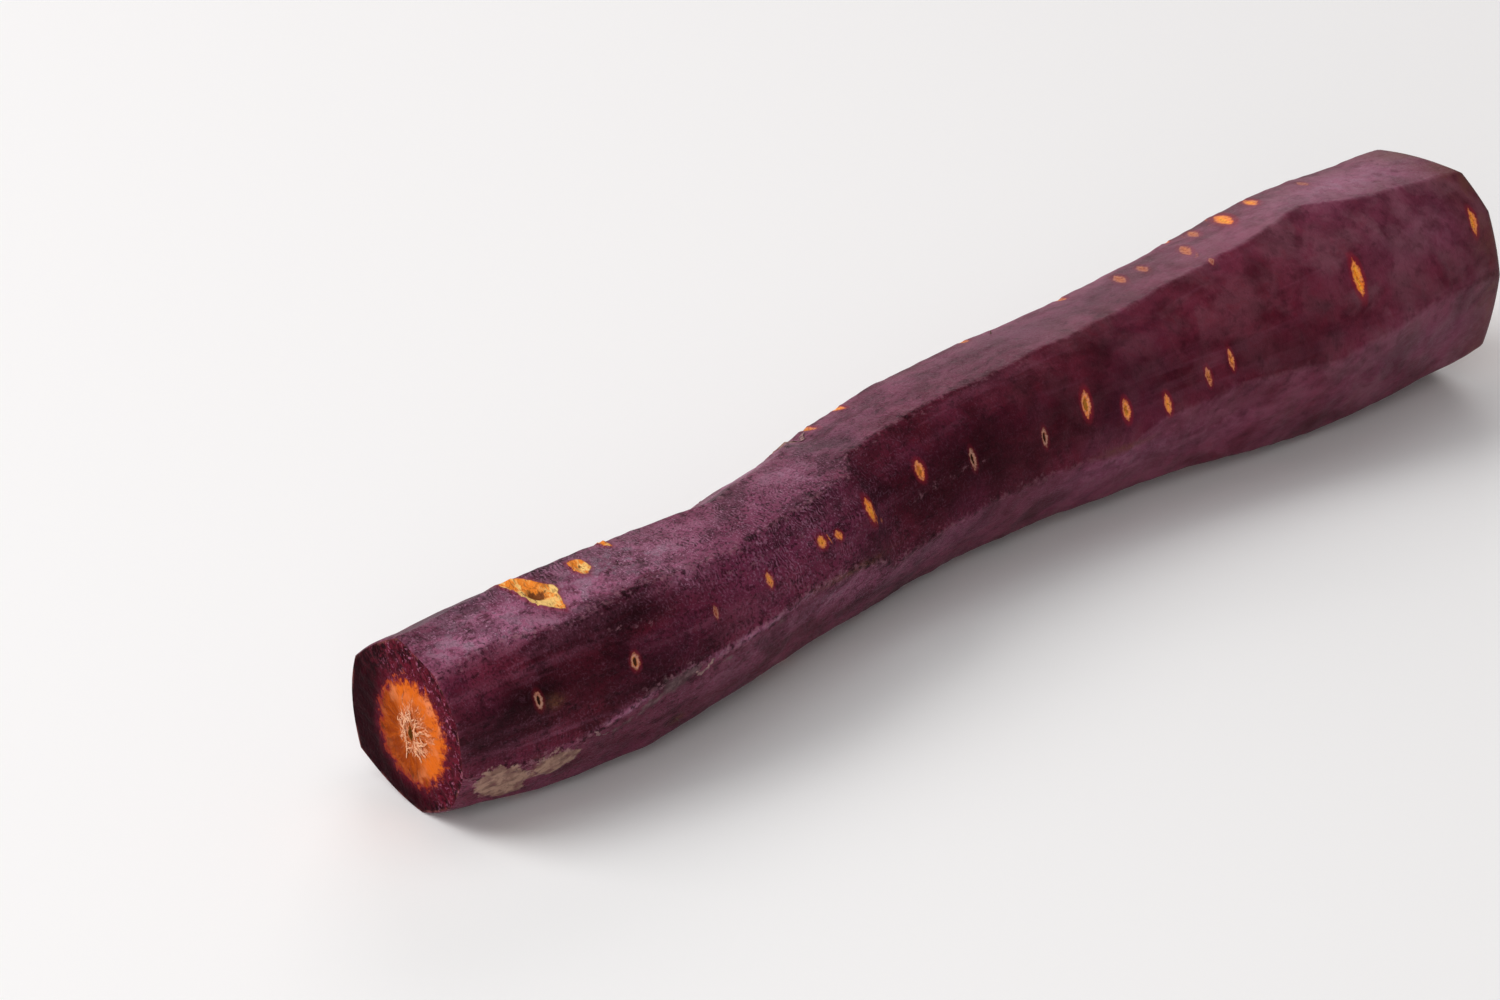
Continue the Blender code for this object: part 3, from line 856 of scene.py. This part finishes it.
def skinMaterial():
    look = skinLook
    skin = Paint("peeledPurpleSkin", look, "deep")
    along = skin.parts("rootPlace")[0]
    grains = skin.grains(skin.field("rootPlace", "Vector"), skinGrains)
    blotch, patch, cluster = grains.blotch, grains.patch, grains.cluster
    speck, pore = grains.speck, grains.pore
    violet, dark, red, pale, slate, umber = (
        skin.field(name) for name in ("violet", "dark", "red", "pale", "slate", "umber"))
    deepCutShade, edgeGap, tornGap = (skin.field(name) for name in ("deepCutShade", "edgeGap", "torn"))
    fades = ease(along, *look["grainFades"], 1.0, 0.16)
    # where the painted sheen of the pale marks and half the violet marks lie
    sheenAndViolet = pale + violet * 0.5
    coarse = fades * (violet + pale).scaled(0.35, 0.60)

    # maroon and violet flesh
    skin.lay(ease(blotch, 0.36, 0.66), "maroon")
    skin.lay(ease(grains.broad, 0.42, 0.68) * ease(along, 100.0, 150.0, 0.35, 0.12), "violet")
    skin.lay(violet * 0.70, "violet")
    # long soft tracks of the blade on the front, and greyer blotches towards the crown
    skin.lay(ease(grains.track, 0.52, 0.64) * deepCutShade * ease(along, 30.0, 120.0, 0.75, 0.30), "track")
    duskShow = ease(along, 80.0, 112.0, 0.0, 0.30) + ease(along, 138.0, 160.0, 0.0, 0.28)
    skin.lay(duskShow * ease(grains.dusk, 0.38, 0.66, 0.10, 1.0), "dusk")
    skin.lay(red * ease(blotch, 0.30, 0.62) * 0.75, "red")
    skin.lay(ease(patch, 0.50, 0.72) * 0.30, "red")
    # painted sheen, paler, on the shallow strokes outside the front band and on the pale marks
    skin.lay((1.0 - deepCutShade) * ease(blotch, 0.30, 0.64, 0.06, 0.26), "sheenPaint")
    skin.lay(pale * ease(blotch, 0.36, 0.60, 0.48, 1.0), "sheenPaint")
    skin.lay(pale * ease(patch, 0.48, 0.62, 0.0, 0.80), "ash")
    skin.lay(pale * ease(patch, 0.46, 0.36, 0.0, 0.40), "maroon")
    skin.lay(slate * ease(patch, 0.34, 0.60, 0.35, 0.85), "slate")
    # dark blotches, and a brown tint at the crown
    skin.lay(dark * 0.75, "night")
    mottled = fades * 0.25 + 0.25
    skin.lay(ease(patch, 0.48, 0.28) * mottled, "night")
    skin.lay(ease(grains.bruise, 0.48, 0.62) * mottled, "night")
    skin.lay(ease(along, *look["crownFade"]) * ease(blotch, 0.40, 0.60, 0.15, 0.60), "crownTint")
    skin.lay(umber * ease(cluster, 0.36, 0.56, 0.3, 1.0), "umber")

    # dark pits, fine ripples broken like the lines of a thumb print, and pale flecks, in drifts; the flecks
    # are partly painted highlights, brighter on the painted sheen
    lively = dark.scaled(-0.55, 1.0)
    pits = ease(grains.pit, 0.51, 0.38) * ease(cluster, 0.64, 0.40, 0.30, 1.0)
    skin.lay(pits * coarse * ease(pale, 0.0, 0.8, 0.80, 0.42), "night")
    wander = centred(grains.slowWander, 1.6) + centred(grains.quickWander, 0.50)
    ripple = ((along + wander) * (2.0 * math.pi / look["printSpacing"])).calc("SINE") * 0.5 + 0.5
    printShow = ease(grains.printZone, 0.42, 0.60) * coarse * ease(grains.broken, 0.42, 0.60)
    printShow = printShow * pale.scaled(-0.7, violet + 0.25)
    skin.lay(ease(ripple, 0.45, 0.10) * printShow * 0.75, "night")
    skin.lay(ease(ripple, 0.60, 0.98) * printShow * lively * 0.55, "mauve")
    flecks = ease(grains.fleck, 0.55, 0.66) * ease(cluster, 0.38, 0.58, 0.10, 1.0)
    skin.lay(flecks * coarse * lively * sheenAndViolet.scaled(0.95, 0.22), "mauve")
    # painted glints: small highlights on the painted sheen
    skin.lay(ease(speck, 0.62, 0.74) * sheenAndViolet * fades * 0.60, "glint")

    # fine pale scratches and dark creases
    scratch = thinLine(grains.scratch, 0.022, 0.004) * ease(cluster, 0.44, 0.60) * fades
    skin.lay(scratch * (sheenAndViolet * 0.20 + 0.07), "mauve")
    crease = thinLine(grains.crease, 0.020, 0.002) * ease(patch, 0.54, 0.40) * fades
    skin.lay(crease * 0.45, "night")
    skin.lay(ease(grains.streak, 0.42, 0.28) * fades * 0.30, "deep")

    # painted highlight here and there along the ridge between two strokes, and ragged dark and highlight
    # flecks beside it
    edge = ease(edgeGap + centred(blotch, 0.8), 0.38, 0.0) * ease(patch, 0.42, 0.60)
    skin.lay(edge * (fades * 0.26 + 0.04), "edgeHighlight")
    ragged = ease(edgeGap + centred(cluster, 1.8), 1.1, 0.2) * fades
    skin.lay(ragged * ease(pore, 0.48, 0.36, 0.0, 0.75), "night")
    skin.lay(ragged * ease(pore, 0.55, 0.66, 0.0, 0.40), "edgeHighlight")

    # skin that the blade missed
    fray = centred(cluster, 0.60) + centred(speck, 0.25)
    tanGap = skin.field("tan") + fray
    tan = ease(tanGap, -0.05, 0.12)
    grey = ease(skin.field("grey") + fray, -0.05, 0.30)
    mottle = ease(patch * 0.5 + cluster * 0.5, 0.44, 0.58)
    skin.lay(grey * 0.75, skin.mix("greyDark", (mottle, "grey")))
    skin.lay(tan * ease(cluster, 0.30, 0.50, 0.50, 0.88), skin.mix("tanDark", (mottle, "tan")))
    skin.lay(ease(abs(tanGap), 0.16, 0.04) * ease(patch, 0.44, 0.58, 0.0, 0.50), "tanPale")
    oldSkin = tan.calc("MAXIMUM", grey)
    skin.lay(oldSkin * ease(pore, 0.44, 0.30) * 0.45, "greyDark")

    # side-root scars: a red halo, dull or vivid fibres, a pale rim round an open hole
    scars = scarMasks(skin, grains.scarEdge)
    vivid = scars.vivid
    skin.lay(scars.halo * (vivid * 0.45 + 0.15), "scarHalo")
    fibres = skin.mix(
        "scarDull", (vivid, "scarOrange"),
        (scars.core * vivid * ease(grains.fibre, 0.38, 0.58, 0.2, 1.0) * 0.90, "scarYellow"),
        (ease(grains.pit, 0.50, 0.40) * ease(vivid, 1.0, 0.4, 0.45, 0.80), "scarFreckle"),
        (scars.rim * ease(cluster, 0.34, 0.54, 0.35, 1.0) * scars.open.calc("MAXIMUM", 0.25), "scarPale"))
    skin.lay(scars.scar * vivid.scaled(0.60, 0.55), fibres)
    skin.lay(scars.hole, "scarHole")

    # torn scars: ragged pale strands round a brown split
    torn = ease(tornGap, -0.02, 0.10)
    gold = skin.field("gold") * 0.75 + centred(grains.strand, 1.2)
    pitGap = skin.field("pit") + centred(grains.strand, 1.5) + centred(speck, 0.6)
    tornTone = skin.mix(
        "tornOrange", (ease(gold, -0.05, 0.60), "tornYellow"),
        (ease(grains.crack, 0.46, 0.34) * 0.50, "tornBrown"), (ease(pitGap, -0.15, 0.45), "tornBrown"))
    skin.lay(ease(tornGap, -0.42, 0.0) * 0.45, "scarHalo")
    skin.lay(torn, tornTone)

    rough = (speck - 0.5) * 0.45 + scars.scar * 0.10 + oldSkin * 0.20 + look["roughness"]
    height = ripple * printShow * 0.4 + (flecks - pits) * coarse * 0.8 + speck * 0.5
    height = height * (1.0 - oldSkin * 0.7) + grains.streak * fades * 0.35 + patch * 0.9 - crease * 0.5
    height = height + scars.scar.calc("MAXIMUM", torn) * grains.strand * 0.9
    return skin.finish(
        rough, height, 0.75, look["bumpHeight"], {"IOR": look["ior"], "Specular IOR Level": look["gloss"]})


# The cut faces, from the middle outwards: colours are linear
fleshLook = {
    "thin": {
        "core": (0.700, 0.140, 0.012), "coreBlush": (0.800, 0.250, 0.100), "coreDeep": (0.255, 0.036, 0.003),
        "coreGapShade": (0.120, 0.020, 0.004),
        "pith": (0.830, 0.380, 0.210), "pithDeep": (0.400, 0.075, 0.014), "slit": (0.110, 0.042, 0.006),
        "ring": (0.120, 0.009, 0.022), "ringGlint": (0.420, 0.130, 0.220), "ringDark": (0.014, 0.001, 0.003),
        "flush": (0.260, 0.022, 0.015), "rimLine": (0.400, 0.130, 0.120),
        "pithReach": 0.56,      # share of the core that the pale star covers
        "shadeTurn": -122.0,    # the side with the painted shadow, degrees from the top
    },
    "crown": {
        "core": (0.740, 0.160, 0.014), "coreBlush": (0.820, 0.290, 0.100), "coreDeep": (0.420, 0.070, 0.006),
        "coreGapShade": (0.200, 0.035, 0.006),
        "pith": (0.820, 0.440, 0.190), "pithDeep": (0.440, 0.110, 0.022), "slit": (0.200, 0.085, 0.022),
        "ring": (0.130, 0.010, 0.025), "ringGlint": (0.420, 0.130, 0.220), "ringDark": (0.018, 0.001, 0.004),
        "flush": (0.300, 0.028, 0.022), "rimLine": (0.330, 0.100, 0.110),
        "pithReach": 0.42, "shadeTurn": 150.0,
    },
}
fleshGrains = {
    "cloud": (2.8, 2.0, 0.5),
    "drift": (1.7, 2.0, 0.5, 0.0, (1.0, 1.0, 1.0), (0.0, 44.0, 0.0)),
    "lump": (1.1, 3.0, 0.6, 0.5),
    "crystal": (0.46, 2.0, 0.6, 0.8, (1.0, 1.0, 1.0), (31.0, 0.0, 0.0)),
    "spot": (0.42, 3.0, 0.65),
}


def fleshMaterial(name, look):
    flesh = Paint(name, look, "coreDeep")
    inCore, radius, share = flesh.parts("cutPlace")
    rayUp, rayFront, raySeed = flesh.parts("cutRay")
    up, front = rayUp * radius, rayFront * radius
    grains = flesh.grains(flesh.joined(up, front, 0.0), fleshGrains)
    cloud, lump, spot = grains.cloud, grains.lump, grains.spot
    # strands run outwards, so this noise changes fast round the face and slowly along a ray
    strandPlace = flesh.joined(
        rayUp * 7.0 + centred(lump, 1.3), rayFront * 7.0 + centred(cloud, 1.3), raySeed * 5.0 + radius * 0.30)
    strand = flesh.grain(strandPlace, 1.0, 3.0, 0.62, 0.2)
    fine = flesh.grain(strandPlace, 1.0, 2.0, 0.6, 0.2, (2.4, 2.4, 1.2))

    # orange core, with painted shade on one side
    flesh.lay(ease(strand, 0.22, 0.46), "core")
    turn = math.radians(look["shadeTurn"])
    toShade = rayUp * math.cos(turn) + rayFront * math.sin(turn)
    shade = ease(toShade, -0.30, 0.50) * ease(inCore, 0.15, 0.50) * ease(strand, 0.72, 0.45, 0.55, 1.0)
    flesh.lay(shade * 0.95, "coreDeep")
    # dark gaps between the strands on the shaded side: painted shade
    flesh.lay(ease(strand, 0.52, 0.38) * shade * ease(inCore, 0.62, 0.92) * 0.85, "coreGapShade")
    # a paler blush near the core's border, stronger on the lit side: painted light there
    blush = ease(inCore, 0.50, 0.95) * ease(cloud, 0.46, 0.60)
    flesh.lay(blush * ease(toShade, 0.6, 0.0, 0.15, 0.75), "coreBlush")

    # pale star of strands round a dark slit
    reach = look["pithReach"]
    star = ease(inCore + centred(strand, 0.55) + toShade * 0.16, reach, reach * 0.62)
    flesh.lay(star * 0.75, "pithDeep")
    flesh.lay(star * ease(fine, 0.47, 0.60) * ease(lump, 0.40, 0.58, 0.25, 1.0), "pith")
    flesh.lay(ease(distance(up * 0.62, front * 1.5) + centred(spot, 0.5), 0.85, 0.45), "slit")

    # the purple ring, its border ragged along the rays, with small painted glints on the lit side
    border = inCore + centred(strand, 0.14) + centred(lump, 0.28) + centred(spot, 0.14)
    ringGlints = ease(grains.crystal, 0.53, 0.68) * ease(grains.drift, 0.40, 0.60) * ease(toShade, 0.55, -0.35)
    # the last layer is painted shadow, nearly black, on the shaded side of the ring
    ringTone = flesh.mix(
        "ringDark", (ease(lump, 0.40, 0.64), "ring"),
        (ease(inCore + centred(cloud, 0.5), 1.60, 1.05) * 0.60, "ring"),
        (ease(spot, 0.46, 0.34) * 0.70, "ringDark"), (ease(fine, 0.44, 0.32) * 0.30, "ringDark"),
        (ringGlints * 0.80, "ringGlint"),
        (ease(toShade, -0.25, 0.70) * ease(inCore, 0.95, 1.35) * 0.92, "ringDark"))
    flesh.lay(ease(border, 0.86, 1.00) * 0.85, "flush")
    flesh.lay(ease(border, 0.98, 1.08), ringTone)
    # a pale line here and there along the rim: a painted highlight on the rim's edge
    flesh.lay(ease(share + centred(spot, 0.03), 0.965, 0.995) * ease(cloud, 0.46, 0.62, 0.0, 0.32), "rimLine")

    rough = (spot - 0.5) * 0.5 + 0.48
    height = fine * 0.8 + spot * 0.5 + strand * 0.8 + lump * 0.6
    return flesh.finish(rough, height, 0.7, 0.22, {
        "Specular IOR Level": 0.012, "Subsurface Weight": 0.06, "Subsurface Radius": (1.0, 0.35, 0.12),
        "Subsurface Scale": 1.0 * mm})


def strandMesh(name, strands, sides=6):
    # closed tapering strands: each is a path in mm, the thickness along it, its flat direction and flatness
    verts, faces, places = [], [], []
    for number, (path, thick, flatWay, flatness) in enumerate(strands):
        path = np.array(path, dtype=float)
        first = len(verts)
        count = len(path)
        along = np.gradient(path, axis=0)
        along /= np.linalg.norm(along, axis=1)[:, None]
        side = np.cross(along, flatWay)
        side /= np.linalg.norm(side, axis=1)[:, None]
        over = np.cross(side, along)
        for k in range(1, count - 1):
            for step in range(sides):
                turn = 2 * math.pi * step / sides
                offset = thick[k] * (math.cos(turn) * side[k] + math.sin(turn) * over[k] / flatness)
                verts.append(tuple(path[k] + offset))
                places.append((k * 1.0, step * 1.0, number * 3.1))
        for end in (0, count - 1):
            verts.append(tuple(path[end]))
            places.append((end * 1.0, 0.0, number * 3.1))
        tip, tail = len(verts) - 2, len(verts) - 1
        for k in range(count - 3):
            for step in range(sides):
                after = (step + 1) % sides
                a, b = first + k * sides, first + (k + 1) * sides
                faces.append((a + step, a + after, b + after, b + step))
        for step in range(sides):
            after = (step + 1) % sides
            last = first + (count - 3) * sides
            faces.append((tip, first + after, first + step))
            faces.append((tail, last + step, last + after))
    mesh = bpy.data.meshes.new(name)
    mesh.from_pydata([tuple(v) for v in np.array(verts) * mm], [], faces)
    attribute = mesh.attributes.new("strandPlace", "FLOAT_VECTOR", "POINT")
    attribute.data.foreach_set("vector", np.array(places, dtype=np.float32).reshape(-1))
    mesh.shade_smooth()
    piece = bpy.data.objects.new(name, mesh)
    bpy.context.collection.objects.link(piece)
    return piece


# Pale fibres that the knife pulled up round the middle of each cut face, in mm
cutFibres = {
    "thin": {"count": 58, "startAt": (0.6, 2.1), "reach": (0.7, 2.0), "thick": (0.045, 0.100),
             "curl": 0.30, "seed": 5,
             # curls that stand out, each as radius and turn along it
             "curls": [
                 [(2.6, 296), (1.7, 292), (1.05, 276), (1.25, 232), (1.9, 206), (3.1, 199), (4.3, 198)],
                 [(3.0, 352), (2.2, 340), (1.6, 318), (1.2, 290), (1.3, 262)],
                 [(2.9, 24), (2.0, 30), (1.4, 48), (1.0, 84), (1.1, 122)],
                 [(1.0, 142), (1.8, 150), (2.8, 146), (3.7, 148)],
                 [(1.1, 116), (2.0, 118), (2.9, 126), (3.5, 124)],
                 [(2.8, 322), (2.2, 334), (1.9, 356), (2.2, 14), (2.7, 22)],
                 [(1.1, 60), (1.9, 64), (2.7, 58), (3.2, 66)],
             ]},
    "crown": {"count": 70, "startAt": (0.4, 3.2), "reach": (0.8, 2.4), "thick": (0.045, 0.080),
              "curl": 0.22, "seed": 9, "curls": []},
}


fibreForm = {"points": 9, "bend": 0.9, "sunk": 0.03, "arch": 0.05,   # mm, but the bend in radians
             "slitClear": 1.25, "shadedShorter": 0.45, "shadedThinner": 0.35}


def facePoint(face, radius, turn, out):
    # a point this far out from a cut face, at this radius and turn
    order = np.argsort(face["turn"])
    k = order[np.searchsorted(face["turn"][order], (turn + math.pi) % (2 * math.pi) - math.pi) % len(order)]
    share = min(max(radius / face["rimRadius"][k], 0.0), 1.0)
    level = (1.0 - share ** (1 / ringCrowding)) * len(face["rings"])
    low = int(min(level, len(face["rings"]) - 2))
    part = min(level - low, 1.0)
    place = face["rings"][low][k] * (1 - part) + face["rings"][low + 1][k] * part
    return place + face["direction"] * out


def buildFibres(name, face, shift):
    plan, form = cutFibres[name], fibreForm
    draw = random.Random(plan["seed"])
    strands = []
    for number in range(plan["count"]):
        turn = 2 * math.pi * (number + draw.uniform(-0.6, 0.6)) / plan["count"] * 3.0
        start, reach = draw.uniform(*plan["startAt"]), draw.uniform(*plan["reach"])
        # the slit in the middle stays clear, and the shaded side has fewer and shorter ones
        start = max(start, form["slitClear"] * abs(math.cos(turn)))
        shaded = max(0.0, math.cos(turn - math.radians(fleshLook[name]["shadeTurn"])))
        reach *= 1.0 - form["shadedShorter"] * shaded
        bend = draw.uniform(-form["bend"], form["bend"])
        lift = plan["curl"] * draw.uniform(0.15, 1.0) ** 2
        thick = draw.uniform(*plan["thick"]) * (1.0 - form["shadedThinner"] * shaded)
        path, widths = [], []
        for k in range(form["points"]):
            t = k / (form["points"] - 1)
            radius = start + reach * t
            swing = turn + bend * (t - 0.3) / (0.6 + radius) + 0.12 * math.sin(5 * t + number)
            out = (form["arch"] + lift) * math.sin(math.pi * t) - form["sunk"]
            path.append(facePoint(face, radius, swing, out) + shift)
            widths.append(thick * (0.35 + 0.65 * math.sin(math.pi * (0.12 + 0.76 * t))))
        strands.append((path, widths, face["direction"], 1.3))
    for number, curl in enumerate(plan["curls"]):
        radii, turns = np.array(curl, dtype=float).T
        turns = np.degrees(np.unwrap(np.radians(turns)))
        spots, path, widths = np.arange(len(curl), dtype=float), [], []
        for t in np.linspace(0.0, 1.0, 5 * len(curl)):
            at = np.array([t * (len(curl) - 1)])
            radius = smoothThrough(spots, radii, at)[0]
            turn = math.radians(smoothThrough(spots, turns, at)[0])
            out = 0.02 + plan["curl"] * math.sin(math.pi * t) * (0.5 + 0.3 * math.sin(9 * t + number))
            path.append(facePoint(face, radius, turn, out) + shift)
            widths.append(plan["thick"][1] * (0.50 + 0.80 * math.sin(math.pi * (0.1 + 0.8 * t))))
        strands.append((path, widths, face["direction"], 1.2))
    return strandMesh(name + "CutFibres", strands)


stubSunk = 0.35   # how deep a stub starts below the skin, mm

# Dry stubs of fine side roots: along, turn, length, thickness and lean along the root, in mm and degrees
rootStubs = [
    (106.3, 327.0, 0.5, 0.20, 0.2), (58.4, 282.0, 1.0, 0.12, -0.4), (131.0, 246.0, 1.4, 0.15, 0.6),
    (86.5, 222.0, 0.9, 0.12, -0.3), (164.0, 298.0, 1.0, 0.13, 0.4), (30.9, 123.0, 0.5, 0.16, 0.2),
    (119.0, 286.0, 0.8, 0.11, -0.5), (44.0, 262.0, 1.2, 0.13, 0.3),
]

# Slivers of peel that still hang on beside a stroke's edge: along, turn, length, width, stand-off of the end
peelSlivers = [
    (69.0, 327.0, 3.6, 0.42, 0.35), (31.5, 84.0, 2.8, 0.34, 0.22), (112.5, 229.0, 4.2, 0.45, 0.40),
    (54.0, 292.0, 3.4, 0.40, 0.35), (126.0, 281.0, 3.0, 0.36, 0.30), (97.5, 183.0, 2.4, 0.30, 0.10),
    (17.5, 98.0, 2.2, 0.26, 0.15),
]


def skinPoint(surface, along, turnDegrees, out):
    ring = int(np.argmin(np.abs(surface["places"] - along)))
    turns = surface["turns"][ring] % (2 * math.pi)
    k = int(np.argmin(np.abs((turns - math.radians(turnDegrees) + math.pi) % (2 * math.pi) - math.pi)))
    return surface["points"][ring, k] + surface["outward"][ring, k] * out, surface["outward"][ring, k]


def buildStubs(surface, shift):
    strands = []
    for at, turn, length, thick, lean in rootStubs:
        base, outward = skinPoint(surface, at, turn, -stubSunk)
        path = [base + shift + outward * (length + stubSunk) * t + np.array([lean * t * t, 0.0, 0.0])
                for t in np.linspace(0.0, 1.0, 7)]
        widths = [thick * (1.0 - 0.75 * t) for t in np.linspace(0.0, 1.0, 7)]
        strands.append((path, widths, (1.0, 0.2, 0.1), 1.1))
    return strandMesh("rootStubs", strands)


def buildSlivers(surface, shift):
    strands = []
    for at, turn, length, width, stand in peelSlivers:
        path, widths = [], []
        for t in np.linspace(0.0, 1.0, 12):
            out = -0.10 + 0.14 * math.sin(math.pi * min(1.0, 2 * t)) + stand * t**3
            place, outward = skinPoint(surface, at + length * t, turn + 3.0 * math.sin(4 * t + at), out)
            path.append(place + shift)
            widths.append(width * (0.30 + 0.70 * math.sin(math.pi * (0.1 + 0.8 * t))))
        strands.append((path, widths, outward, 5.0))
    return strandMesh("peelSlivers", strands)


strandLook = {
    "fibre": {"pale": (0.900, 0.520, 0.320), "deep": (0.640, 0.220, 0.070), "roughness": 0.45},
    "stub": {"pale": (0.140, 0.075, 0.050), "deep": (0.035, 0.016, 0.012), "roughness": 0.70},
    "sliver": {"pale": (0.330, 0.180, 0.170), "deep": (0.110, 0.035, 0.050), "roughness": 0.55},
}


def strandMaterial(name, look):
    strand = Paint(name, look, "deep")
    tone = strand.grain(strand.field("strandPlace", "Vector"), 1.0, 2.0, 0.6, 0.0, (0.9, 0.5, 1.0))
    strand.lay(ease(tone, 0.34, 0.66), "pale")
    return strand.finish((tone - 0.5) * 0.3 + look["roughness"], tone, 0.4, 0.03)


def placePiece(piece, *materials):
    for material in materials:
        piece.data.materials.append(material)
    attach(piece, "root")


surface = rootSurface()
root, rootShift, cuts = buildRoot(surface)
placePiece(root, skinMaterial(), fleshMaterial("thinCutFlesh", fleshLook["thin"]),
           fleshMaterial("crownCutFlesh", fleshLook["crown"]))
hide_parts("carrot")
print("skin and cut faces painted")

fibreMaterial = strandMaterial("paleFibre", strandLook["fibre"])
for cutName, cut in cuts.items():
    placePiece(buildFibres(cutName, cut, rootShift), fibreMaterial)
placePiece(buildStubs(surface, rootShift), strandMaterial("dryRootlet", strandLook["stub"]))
placePiece(buildSlivers(surface, rootShift), strandMaterial("driedPeel", strandLook["sliver"]))
print("fibres, root stubs and peel slivers added")


# The room: a pale table and soft studio light
room = {
    "tableSize": 6.0, "tableColour": (0.93, 0.93, 0.935), "tableRoughness": 0.85,
    "skyLight": 0.12,
    # name, place, size, watts, colour
    "lamps": [
        ("backLeftSoftbox", (-0.85, 0.75, 1.00), 0.9, 15.0, (1.0, 0.98, 0.97)),
        ("backRightSoftbox", (0.95, 1.15, 0.70), 0.8, 6.0, (1.0, 0.93, 0.92)),
        ("frontLeftSoftbox", (-1.05, -0.85, 0.75), 1.0, 9.0, (1.0, 0.98, 0.96)),
        ("overhead", (0.10, 0.10, 1.50), 1.2, 5.0, (1.0, 1.0, 1.0)),
    ],
}


def buildRoom():
    size = room["tableSize"] / 2
    mesh = bpy.data.meshes.new("table")
    corners = [(-size, -size, 0), (size, -size, 0), (size, size, 0), (-size, size, 0)]
    mesh.from_pydata(corners, [], [(0, 1, 2, 3)])
    table = bpy.data.objects.new("table", mesh)
    bpy.context.collection.objects.link(table)
    material = bpy.data.materials.new("paleTable")
    material.use_nodes = True
    inputs = material.node_tree.nodes["Principled BSDF"].inputs
    inputs["Base Color"].default_value = (*room["tableColour"], 1.0)
    inputs["Roughness"].default_value = room["tableRoughness"]
    mesh.materials.append(material)
    for name, place, across, watts, colour in room["lamps"]:
        light = bpy.data.lights.new(name, "AREA")
        light.size = across
        light.energy = watts
        light.color = colour
        lamp = bpy.data.objects.new(name, light)
        lamp.location = place
        lamp.rotation_euler = (Vector((0.0, 0.0, 0.0)) - Vector(place)).to_track_quat("-Z", "Y").to_euler()
        bpy.context.collection.objects.link(lamp)
    world = bpy.data.worlds.new("softRoom")
    world.use_nodes = True
    world.node_tree.nodes["Background"].inputs["Color"].default_value = (1.0, 1.0, 1.0, 1.0)
    world.node_tree.nodes["Background"].inputs["Strength"].default_value = room["skyLight"]
    bpy.context.scene.world = world


# The photograph's view: degrees, metres, mm
photoView = {"azimuth": -42.2, "elevation": 28.0, "away": 0.560, "lookAt": (-0.00838, 0.03056, 0.0),
             "lens": 100.0, "sensor": 36.0}


def placeCamera():
    a, e = math.radians(photoView["azimuth"]), math.radians(photoView["elevation"])
    back = Vector((math.sin(a) * math.cos(e), -math.cos(a) * math.cos(e), math.sin(e)))
    camera = bpy.data.objects.new("photoCamera", bpy.data.cameras.new("photoCamera"))
    camera.data.lens = photoView["lens"]
    camera.data.sensor_width = photoView["sensor"]
    camera.data.clip_start = 0.01
    camera.location = Vector(photoView["lookAt"]) + back * photoView["away"]
    camera.rotation_euler = back.to_track_quat("Z", "Y").to_euler()
    bpy.context.collection.objects.link(camera)
    bpy.context.scene.camera = camera
    bpy.context.scene.view_settings.view_transform = "Standard"   # plain colours, as in the photograph


buildRoom()
placeCamera()
print("room, lights and camera placed")
